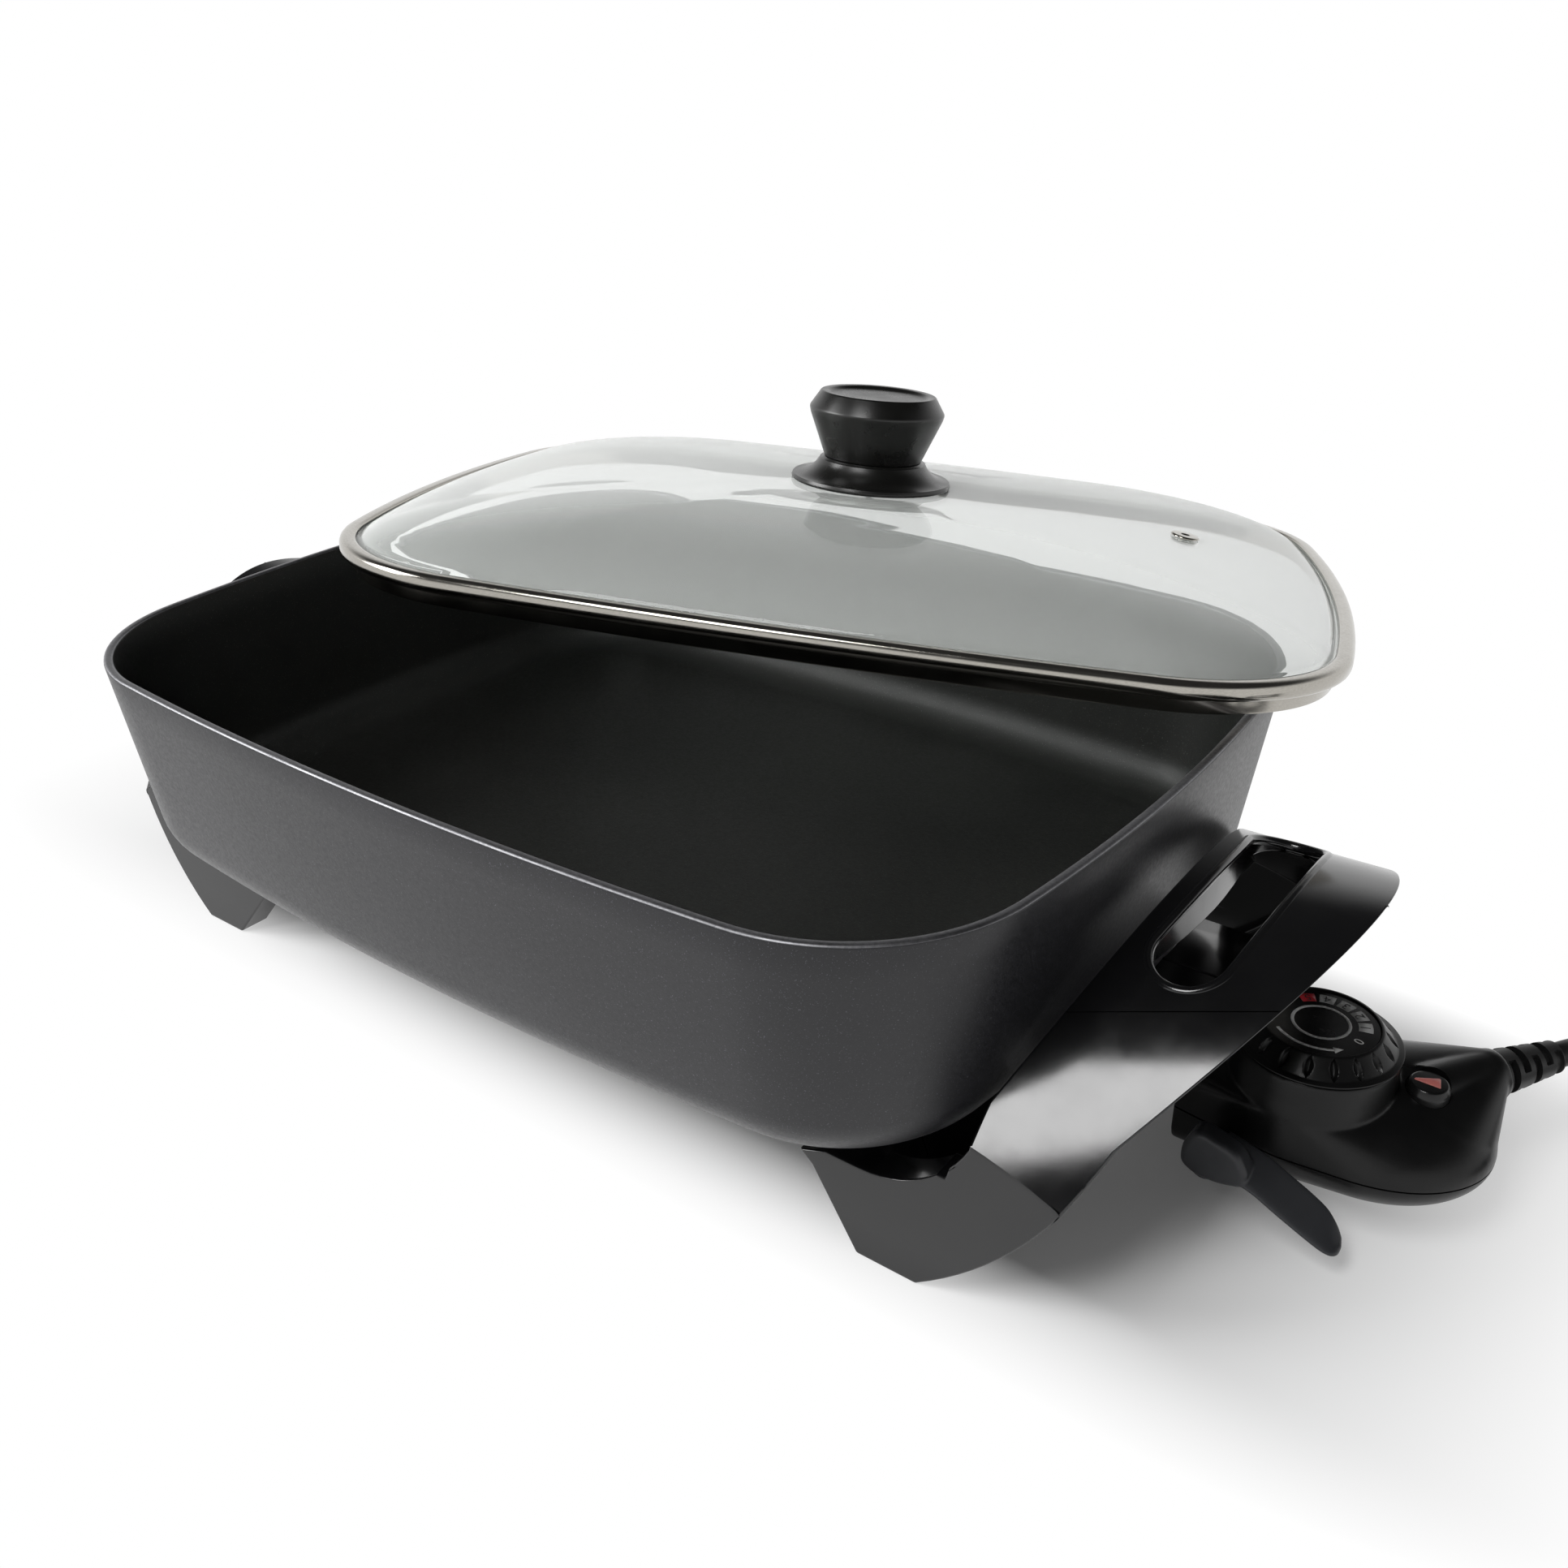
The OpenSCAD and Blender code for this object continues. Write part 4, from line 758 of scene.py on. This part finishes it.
def glass_ring(s, dz):
    """One ring of the dome; towards the middle it turns from the lid's outline into a circle."""
    flat = max(0.0, min(1.0, (ROUND_FROM - s) / ROUND_OVER))
    flat = flat * flat * (3 - 2 * flat)
    r = dome_half * s * ROUND_SHARE
    z = dome(s) * (1 - flat) + (CROWN_H - ROUND_DOWN) * flat + dz
    out = []
    for x, y in glass_rim:
        a = math.atan2(y / LID[1], x / LID[0])
        px, py = x * s * (1 - flat) + r * math.cos(a) * flat, y * s * (1 - flat) + r * math.sin(a) * flat
        out.append((px, py, z))
    return out


def glass_rows(dz):
    """Rings of one face of the glass, from its edge to its middle."""
    return [lid_ring_at(GLASS_IN, dz), lid_ring_at(FLANGE_MID, dz)] + [glass_ring(s, dz) for s in DOME_ROWS]


glass_faces = glass_rows(GLASS_T / 2) + glass_rows(-GLASS_T / 2)[::-1]
glass = make("lid_dome", *skin(glass_faces, closed=True), [glass_mat], sharp=60, matrix=LID_POSE)
VENT_X, VENT_STEP, VENT_R = 132, 0.05, 3.3
vent_s = VENT_X / dome_half
vent_tilt = math.atan((dome(vent_s - VENT_STEP) - dome(vent_s + VENT_STEP)) / (2 * VENT_STEP * dome_half))
vent_pose = LID_POSE @ Matrix.Translation((VENT_X, 0, dome(vent_s))) @ Matrix.Rotation(vent_tilt, 4, "Y")
hole = make("vent_hole", *skin(lathe([(VENT_R, -9), (VENT_R, 9)], 48)), [glass_mat], matrix=vent_pose)
cut(glass, hole)
shade(glass, 60)
place(glass, "lid", ("lid_glass",))
vent_corners = [(1.8, -3.1), (5, -3.1), (5, -2.3), (3, -2.3), (3, 2.3), (6, 2.3), (5.5, 3.1), (1.8, 3.1)]
vent = make("vent_eyelet", *skin(lathe(rounded(vent_corners, 0.4), 64), closed=True), [steel], matrix=vent_pose)
place(vent, "lid", ("steam_vent",))

# Knob: a flared foot with a hollow flank, and a cupped grip on it
collar_foot = rounded([(2.7, 26), (33.2, 26), (33.8, 26.8), (33.2, 28.2)], 0.5)
collar_flank = [polar(12, a, (33.2, 40.2)) for a in range(-95, -157, -6)]
collar_top = rounded([(21.4, 35.2), (20.6, 35.9), (2.7, 35.9)], 0.3)
collar_rings = lathe(collar_foot + collar_flank + collar_top, 120)
collar = make("knob_foot", *skin(collar_rings, closed=True), [knob_mat], sharp=45, matrix=LID_POSE)
place(collar, "lid", ("knob_collar",))
grip_corners = [
    (2.7, 36.1), (20.4, 36.1), (20.7, 36.7), (27.7, 53.6), (28.3, 56), (23.9, 62.9), (21, 62.7), (19.4, 61.5),
    (8, 60.9), (0, 60.8),
]
grip_rings = lathe(rounded(grip_corners, 0.7), 120)
grip = make("knob_top", *skin(grip_rings, caps=(False, True)), [knob_mat], sharp=45, matrix=LID_POSE)
place(grip, "lid", ("knob_grip",))

# HEAT CONTROL: smooth two-shell housing with a turret, and a neck and a boss for the lead
AXIS_X, PART_Z, SHELL_T = 250.5, 26.5, 2.5
LOBE, LOBE_HALF = Vector((15.5, 9.5, 27)), (39.6, 33, 19)
BELLY_HALF, BELLY_TOP = (24.5, 25.3, 17), 41
NOSE_X0, NOSE_L, NOSE_W, NOSE_R, NOSE_LOW, NOSE_HIGH = -35, 17, 42, 7, 11, 42
TURRET_R, TURRET_Z = 25, 55.5
NECK_SHARE, NECK_L, NECK_R = 0.99, 27, 8.6
CONTROL = Matrix.Translation((AXIS_X, 0, 0))
ALONG_X, ALONG_Y = Matrix.Rotation(math.pi / 2, 4, "Y"), Matrix.Rotation(math.pi / 2, 4, "X")
ALONG_EXIT = Matrix.Translation(EXIT_FROM) @ Matrix.Rotation(EXIT_TURN, 4, "Z") @ ALONG_X


def ball_points(at, half, n=72, m=36):
    """Points of a stretched ball, without its poles."""
    pts = []
    for i in range(n):
        for j in range(1, m):
            a, b = 2 * math.pi * i / n, math.pi * j / m
            d = (math.cos(a) * math.sin(b), math.sin(a) * math.sin(b), math.cos(b))
            pts.append(tuple(at[k] + half[k] * d[k] for k in range(3)))
    return pts


def housing_points(t):
    """Points whose hull is the housing, drawn in by t: lobe, belly and nose."""
    pts = []
    for at, half in ((LOBE, LOBE_HALF), (Vector((0, 0, LOBE.z)), BELLY_HALF)):
        pts += ball_points(at, [h - t for h in half])
    for z in (LOBE.z, BELLY_TOP - t):
        pts += lathe([(BELLY_HALF[1] - t, z)], 96)[0]
    for y in (NOSE_R - NOSE_W / 2, NOSE_W / 2 - NOSE_R):
        for z in (NOSE_LOW + NOSE_R, NOSE_HIGH - NOSE_R):
            for x in (NOSE_X0 + t, NOSE_X0 + NOSE_L):
                pts += [(x, y + c, z + s) for c, s, _ in lathe([(NOSE_R - t, 0)], 32)[0]]
    return pts


def neck_points():
    """Lobe, drawn in a little, and the far end of the boss: their hull is the neck that leads to the lead."""
    boss_end = [CONTROL.inverted() @ ALONG_EXIT @ Vector(p) for p in lathe([(NECK_R, NECK_L)], 72)[0]]
    return ball_points(LOBE, [h * NECK_SHARE for h in LOBE_HALF]) + boss_end


def hull_object(name, points, mat, matrix):
    """Convex hull of points in mm."""
    bm = bmesh.new()
    for p in points:
        bm.verts.new(Vector(p) * MM)
    made = bmesh.ops.convex_hull(bm, input=bm.verts)
    spare = {v for v in made["geom_interior"] + made["geom_unused"] if isinstance(v, bmesh.types.BMVert)}
    bmesh.ops.delete(bm, geom=list(spare), context="VERTS")
    mesh = bpy.data.meshes.new(name)
    bm.to_mesh(mesh)
    bm.free()
    mesh.transform(in_metres(matrix))
    mesh.materials.append(mat)
    return linked(name, mesh)


def joined(name, objs):
    """One object with the meshes of several, in the first one's material."""
    bm = bmesh.new()
    for o in objs:
        bm.from_mesh(o.data)
    mesh = bpy.data.meshes.new(name)
    bm.to_mesh(mesh)
    bm.free()
    mesh.materials.append(objs[0].data.materials[0])
    drop(*objs)
    return linked(name, mesh)


def blended(obj, voxel, rounds):
    """Melts joined shapes into one skin with soft creases."""
    remesh = {"mode": "VOXEL", "voxel_size": voxel * MM}
    worked(obj, ("REMESH", remesh), ("SMOOTH", {"factor": 0.5, "iterations": rounds}))


body_hull = hull_object("hull", housing_points(0), matte, CONTROL)
turret_profile = [
    (0, 30), (TURRET_R + 0.3, 30), (TURRET_R + 0.3, 42), (TURRET_R, 47), (TURRET_R - 0.2, TURRET_Z), (0, TURRET_Z),
]
turret = make("turret", *skin(lathe(turret_profile, 128)), [matte], matrix=CONTROL)
boss_rows = [(0, 2), (8.8, 2), (8.6, 20), (8.4, 28.6), (7.9, 29.7), (0, 29.7)]
exit_boss = make("exit_boss", *skin(lathe(boss_rows, 64)), [matte], matrix=ALONG_EXIT)
neck = hull_object("neck", neck_points(), matte, CONTROL)
shell = joined("shell", [body_hull, turret, exit_boss, neck])
blended(shell, voxel=0.55, rounds=14)

BLOCK_FROM, BLOCK_TO, BLOCK_LOW, BLOCK_HIGH = -60, 90, -10, 90


def block(name, z0, z1):
    """Cutter that takes the whole housing between two heights."""
    low, high = BLOCK_FROM, BLOCK_TO
    corners = [(low, low), (high, low), (high, high), (low, high)]
    return make(name, *skin([at_z(corners, z0), at_z(corners, z1)]), [matte], matrix=CONTROL)


def rod(name, r, z0, z1, matrix, n=40):
    return make(name, *skin(lathe([(r, z0), (r, z1)], n)), [matte], matrix=matrix)


BORE_Z, PROBE_R, SOCKET_R, SOCKET_Y, BORE_BEFORE, BORE_L = 30, 4.05, 2.8, 12.5, 2, 9
PIN_X, PIN_Z, PIN_R, PIN_WALL_Y = 232.5, 21, 2.55, -27
PILOT_AT = CONTROL @ Matrix.Translation((32.3, 9.1, 0))
GROOVE = 0.3
# Bores of the cover: radius, where it starts and ends, and its frame
COVER_BORES = {
    "turret_void": (19.5, 39, 53, CONTROL),
    "spindle_bore": (3.05, 30, 70, CONTROL),
    "pilot_bore": (6.7, 36, 70, PILOT_AT),
    "exit_bore": (5.05, 8, 40, ALONG_EXIT),
}


def nose_rods():
    """Cutters for the probe and the two sockets in the nose."""
    out = []
    for y, r in ((0, PROBE_R), (-SOCKET_Y, SOCKET_R), (SOCKET_Y, SOCKET_R)):
        at = CONTROL @ Matrix.Translation((NOSE_X0 - BORE_BEFORE, y, BORE_Z)) @ ALONG_X
        out.append(rod("bore", r, 0, BORE_L, at))
    return out


def lever_axis(y):
    """Frame on the lever's pin that looks towards the front."""
    return Matrix.Translation((PIN_X, y, PIN_Z)) @ ALONG_Y


def void():
    return hull_object("void", housing_points(SHELL_T), matte, CONTROL)


cover = linked("control_upper", shell.data.copy())
base = linked("control_lower", shell.data.copy())
drop(shell)
cut(
    cover, block("low", BLOCK_LOW, PART_Z + GROOVE), void(),
    *[rod(name, *bore) for name, bore in COVER_BORES.items()], *nose_rods(),
)
cut(
    base, block("high", PART_Z - GROOVE, BLOCK_HIGH), void(),
    rod("pin_bore", PIN_R, -12, 2, lever_axis(PIN_WALL_Y)), *nose_rods(),
)
place(shade(cover, 40), "control", ("control_cover",))
place(shade(base, 40), "control", ("control_base",))

# Pilot light: bezel with a pointed lens
bezel_rings = lathe(rounded([(5.2, 41.5), (6.6, 41.5), (6.6, 46), (5.6, 48.2), (0, 48.2)], 0.6), 80)
bezel = make("pilot_ring", *skin(bezel_rings, caps=(False, True)), [face_black], sharp=50, matrix=PILOT_AT)
place(bezel, "control", ("pilot_bezel",))
LENS_TURN, LENS_TIP, LENS_END, LENS_HALF = math.radians(195), 4.4, -3.2, 2.5
LENS_BLUNT, LENS_ROUND = 0.3, 0.5


def lens_ring(scale, z):
    """Outline of the lens, a triangle with round corners."""
    corners = [(LENS_END, LENS_HALF), (LENS_TIP, LENS_BLUNT), (LENS_TIP, -LENS_BLUNT), (LENS_END, -LENS_HALF)]
    pts = rounded([(LENS_END, 0), *corners, (LENS_END, 0)], LENS_ROUND, 3)[:-1]
    c, s = math.cos(LENS_TURN), math.sin(LENS_TURN)
    return [((x * c - y * s) * scale, (x * s + y * c) * scale, z) for x, y in pts]


lens_rings = [lens_ring(1, 46.5), lens_ring(1, 48.25), lens_ring(0.92, 48.5)]
lens = make("pilot_window", *skin(lens_rings), [red_lens], sharp=50, matrix=PILOT_AT)
place(lens, "control", ("pilot_lens",))

# Strain relief: tapered sleeve with slots that stand across each other
RIBS, CORE_R, RELIEF_R0, RELIEF_R1 = 5, 4.4, 7.6, 5.3
RIB_FROM, RIB_TO, WEB = 0.3, 0.86, 0.9
TIP_SHARE, TIP_L, SINK = 0.8, 0.1, 1


def relief_rings():
    rows = []
    n, steps = 72, 96
    length = RELIEF_L + SINK
    pitch = length / RIBS
    for k in range(steps + 1):
        t = k / steps
        cell, part = divmod(length * t, pitch)
        base_r = RELIEF_R0 + (RELIEF_R1 - RELIEF_R0) * t
        sunk = RIB_FROM < part / pitch < RIB_TO and cell < RIBS
        ring = []
        for i in range(n):
            a = 2 * math.pi * i / n
            web = abs(math.cos(a + (math.pi / 2) * (int(cell) % 2)))
            r = CORE_R if sunk and web < WEB else base_r
            ring.append((r * math.cos(a), r * math.sin(a), BOSS_L - SINK + length * t))
        rows.append(ring)
    rows.append([(x * TIP_SHARE, y * TIP_SHARE, z + TIP_L) for x, y, z in rows[-1]])
    return rows


relief = make("lead_sleeve", *skin(relief_rings()), [rubber], sharp=35, matrix=ALONG_EXIT)
place(relief, "control", ("strain_relief",))

# DIAL: fluted cone on a thin skirt, printed face
DIAL_Z, DIAL_TOP, DIAL_R = 55.8, 62.4, 25.2
SLOPE_R0, SLOPE_R1, SLOPE_Z, SLOPE_H, SLOPE_STEPS = 23.2, 18.6, 1.1, 5.3, 14
FLUTES, FLUTE_POINTS, FLUTE_HALF, FLUTE_D, FLUTE_DROP = 18, 24, 1.35, 1.15, 0.5
FLUTE_FROM, FLUTE_RUN, FLUTE_SWELL, FLUTE_MIN = 0.04, 1.08, 0.8, 0.05
SKIRT = [(DIAL_R - 0.5, 0), (DIAL_R, 0.25), (DIAL_R, 0.65), (DIAL_R - 0.4, 0.9), (23.5, 0.9), (SLOPE_R0, SLOPE_Z)]
DIAL_LIP = [(18.2, 0), (17.7, 0), (17.5, 0.25), (17.5, 1)]
DIAL_FACE = [(17.45, 1), (17.45, 0.5), (10, 0.5), (0, 0.5)]


def dial_rings():
    """Skirt, fluted slope and lip; a row is its radius, its height and how far up the slope it is."""
    n = FLUTES * FLUTE_POINTS
    rows = [(r, DIAL_Z + up, 0) for r, up in SKIRT]
    for k in range(1, SLOPE_STEPS + 1):
        t = k / SLOPE_STEPS
        rows.append((SLOPE_R0 + (SLOPE_R1 - SLOPE_R0) * t, DIAL_Z + SLOPE_Z + SLOPE_H * t, t))
    rows += [(r, DIAL_TOP - down, 0) for r, down in DIAL_LIP]
    out = []
    for r, z, t in rows:
        along = min(max(t * FLUTE_RUN - FLUTE_FROM, 0), 1)
        half = FLUTE_HALF * math.sin(math.pi * along) ** FLUTE_SWELL if t else 0
        ring = []
        for i in range(n):
            a = 2 * math.pi * i / n
            off = ((a * FLUTES / (2 * math.pi) + 0.5) % 1 - 0.5) * 2 * math.pi / FLUTES * r
            depth = FLUTE_D * max(0.0, 1 - (off / half) ** 2) if half > FLUTE_MIN else 0
            ring.append(((r - depth) * math.cos(a), (r - depth) * math.sin(a), z - depth * FLUTE_DROP))
        out.append(ring)
    return out


dial = make("dial_rim", *skin(dial_rings(), caps=(True, False)), [matte], sharp=35, matrix=CONTROL)
place(dial, "dial", ("dial",))
face_profile = rounded([(r, DIAL_TOP - down) for r, down in DIAL_FACE], 0.2)
face = make("dial_plate", *skin(lathe(face_profile, 96), caps=(True, True)), [face_black], matrix=CONTROL)
place(face, "dial", ("dial_disc",))

# Printing on the dial's face: tiles, a ring, an arc with an arrow, and plain figures
PRINT_Z, PRINT_T = DIAL_TOP - 0.44, 0.05
TILES, RED_TILE = [22.2, 48.5, 74.6, 100.9], 127.2
TILE_R, TILE_HALF, TILE_TAPER = (11.0, 15.2), 10, -1.0
RING_R, ARC_R, ARC_STEP, ARC_OVER = (8.0, 9.0), (13.6, 14.6), 10, 0.05
FIGURE_H, FIGURE_R, FIGURE_T, ZERO_AT = 4.4, 13.1, 0.02, -14


def sector(radii, a0, a1, n=12, taper=0.0):
    """Flat printed patch between two radii and two angles in degrees."""
    b0, b1 = a0 + taper, a1 - taper
    out = [polar(radii[1], a0 + (a1 - a0) * i / n) for i in range(n + 1)]
    return out + [polar(radii[0], b1 + (b0 - b1) * i / n) for i in range(n + 1)]


def tile(a):
    return sector(TILE_R, a - TILE_HALF, a + TILE_HALF, taper=TILE_TAPER)


def band(radii, a0, a1):
    """Ring or arc, as short patches that meet."""
    return [sector(radii, a, a + ARC_STEP + ARC_OVER, 4) for a in range(a0, a1, ARC_STEP)]


def printed(name, shapes, mat, z):
    verts, faces = [], []
    for pts in shapes:
        faces.append(tuple(range(len(verts), len(verts) + len(pts))))
        verts += at_z(pts, z)
    obj = make(name, verts, faces, [mat], matrix=CONTROL)
    worked(obj, ("SOLIDIFY", {"thickness": PRINT_T * MM, "offset": -1.0}))
    place(obj, "dial")


printed("scale_tiles", [tile(a) for a in TILES], print_grey, PRINT_Z)
printed("scale_end", [tile(RED_TILE)], print_red, PRINT_Z)
arrow = [polar(12.6, -56), polar(14.1, -44), polar(15.6, -56)]
printed("scale_ring", band(RING_R, 0, 360) + band(ARC_R, -135, -55) + [arrow], print_grey, PRINT_Z)


def numeral(text, angle, mat, z):
    """Plain figure that stands with its head towards the middle of the dial."""
    curve = bpy.data.curves.new("figure", "FONT")
    curve.body = text
    curve.size = FIGURE_H * MM
    curve.align_x = "CENTER"
    curve.align_y = "CENTER"
    curve.extrude = FIGURE_T * MM
    shape = linked("figure", curve)
    a = math.radians(angle)
    at = Vector((AXIS_X + FIGURE_R * math.cos(a), FIGURE_R * math.sin(a), z)) * MM
    shape.matrix_world = Matrix.Translation(at) @ Matrix.Rotation(a + math.pi / 2, 4, "Z")
    bpy.context.view_layer.update()
    mesh = evaluated(shape)
    mesh.transform(shape.matrix_world)
    mesh.materials.clear()
    mesh.materials.append(mat)
    drop(shape)
    place(bpy.data.objects.new("figure_" + text, mesh), "dial")


numeral("0", ZERO_AT, print_grey, PRINT_Z)
for text, a in zip("12345", TILES + [RED_TILE]):
    numeral(text, a, print_dark, PRINT_Z + PRINT_T)

# RELEASE LEVER: upright hub plate that turns into a dished paddle
LEVER_FAR, LEVER_NEAR = -26.2, -39
HUB_T, HUB_ROUND, FAR_TRIM, FAR_SHARE, NEAR_TRIM, NEAR_SHARE = 7.5, 3.2, 0.8, 0.9, 1.2, 0.88
PADDLE_NEAR = [(236, 22), (242, 22.5), (249, 20.8), (257, 17), (267.4, 12.4), (274, 10), (277, 9.2)]
PADDLE_FAR = [(236, 30), (242, 28.6), (249, 26.6), (257, 22.8), (264, 19.4), (270, 15.6), (275, 10.2)]
PADDLE_T, PADDLE_DISH, PADDLE_STEPS, EDGE_THIN = 3.2, 1.6, 6, 0.15
TIP_FROM, TIP_ROUND, TIP_THIN, TIP_MIN = 0.72, 2.2, 0.55, 0.0004
HUB = [
    (229.6, 36), (226.3, 30.7), (225.4, 26), (225.6, 21), (230.8, 18.4), (238.2, 18.4), (246.5, 20.6), (247, 26),
    (243, 32.6), (236.4, 34.2),
]


def paddle_rings(n=16):
    """Sections of the paddle between its near and far edges, closed towards the tip."""
    near, far = [smooth_path([(x, z, 0) for x, z in edge], PADDLE_STEPS) for edge in (PADDLE_NEAR, PADDLE_FAR)]
    rows = []
    for k, (a, b) in enumerate(zip(near, far)):
        t = k / (len(near) - 1)
        close = 1 - max(0.0, (t - TIP_FROM) / (1 - TIP_FROM)) ** TIP_ROUND
        width = math.sqrt(max(close, TIP_MIN))
        thick = PADDLE_T * (TIP_THIN + (1 - TIP_THIN) * width)
        ring = []
        for side in (1, -1):
            for i in range(n):
                u = i / (n - 1) if side > 0 else 1 - i / (n - 1)
                v = (u - 0.5) * width + 0.5
                x, z = a.x + (b.x - a.x) * v, a.y + (b.y - a.y) * v
                y = LEVER_NEAR + (LEVER_FAR - LEVER_NEAR) * v
                dish = -PADDLE_DISH * (1 - (2 * u - 1) ** 2) * t * width
                edge = math.sqrt(max(0.0, 1 - abs(2 * u - 1) ** 3))
                lift = side * thick / 2 * (EDGE_THIN + (1 - EDGE_THIN) * edge)
                ring.append((x, y, z + dish + lift))
        rows.append(ring)
    return rows


def plate_rings(points, y0, y1):
    """Plate with round corners from y0 to y1, drawn in at both faces."""
    pts = rounded(points + points[:2], HUB_ROUND, 5)[5:-1]
    mid = (sum(p[0] for p in pts) / len(pts), sum(p[1] for p in pts) / len(pts))

    def ring(y, scale):
        return [(mid[0] + (x - mid[0]) * scale, y, mid[1] + (z - mid[1]) * scale) for x, z in pts]

    return [ring(y0, FAR_SHARE), ring(y0 - FAR_TRIM, 1), ring(y1 + NEAR_TRIM, 1), ring(y1, NEAR_SHARE)]


SLEEVE_R, SLEEVE_L = 5, 10
hub = make("hub", *skin(plate_rings(HUB, LEVER_NEAR + HUB_T, LEVER_NEAR)), [lever_sheen_mat])
sleeve_rings = lathe([(0, 0), (SLEEVE_R, 0), (SLEEVE_R, SLEEVE_L), (0, SLEEVE_L)], 40)
sleeve = make("sleeve", *skin(sleeve_rings), [lever_sheen_mat], matrix=lever_axis(LEVER_FAR))
paddle = make("paddle", *skin(paddle_rings()), [lever_sheen_mat])
lever = joined("lever_arm", [hub, sleeve, paddle])
blended(lever, voxel=0.45, rounds=10)
cut(lever, rod("pin_bore", PIN_R, -1, 9.7, lever_axis(LEVER_FAR)))
place(shade(lever, 45), "lever", ("release_lever",))

# CARRIED-OVER NODES: their CAD shape with a material of their own
KEPT = {
    zinc: (
        "end_piece_screws", "element_terminals", "terminal_guard", "guard_screws", "control_screws", "lever_pin",
        "dial_spindle",
    ),
    dark_steel: ("heating_element",),
    ceramic_mat: ("terminal_bushes", "thermostat_block"),
    cast: ("probe_well",),
    steel: ("knob_screw", "probe_rod"),
    rubber: ("knob_washer", "coil_tie"),
    brass_mat: ("pin_sockets", "contact_leaf", "plug_pins"),
    lamp_glass: ("pilot_lamp",),
}
for mat, names in KEPT.items():
    for name in names:
        obj = nodes[name]
        obj.data.materials.clear()
        obj.data.materials.append(mat)
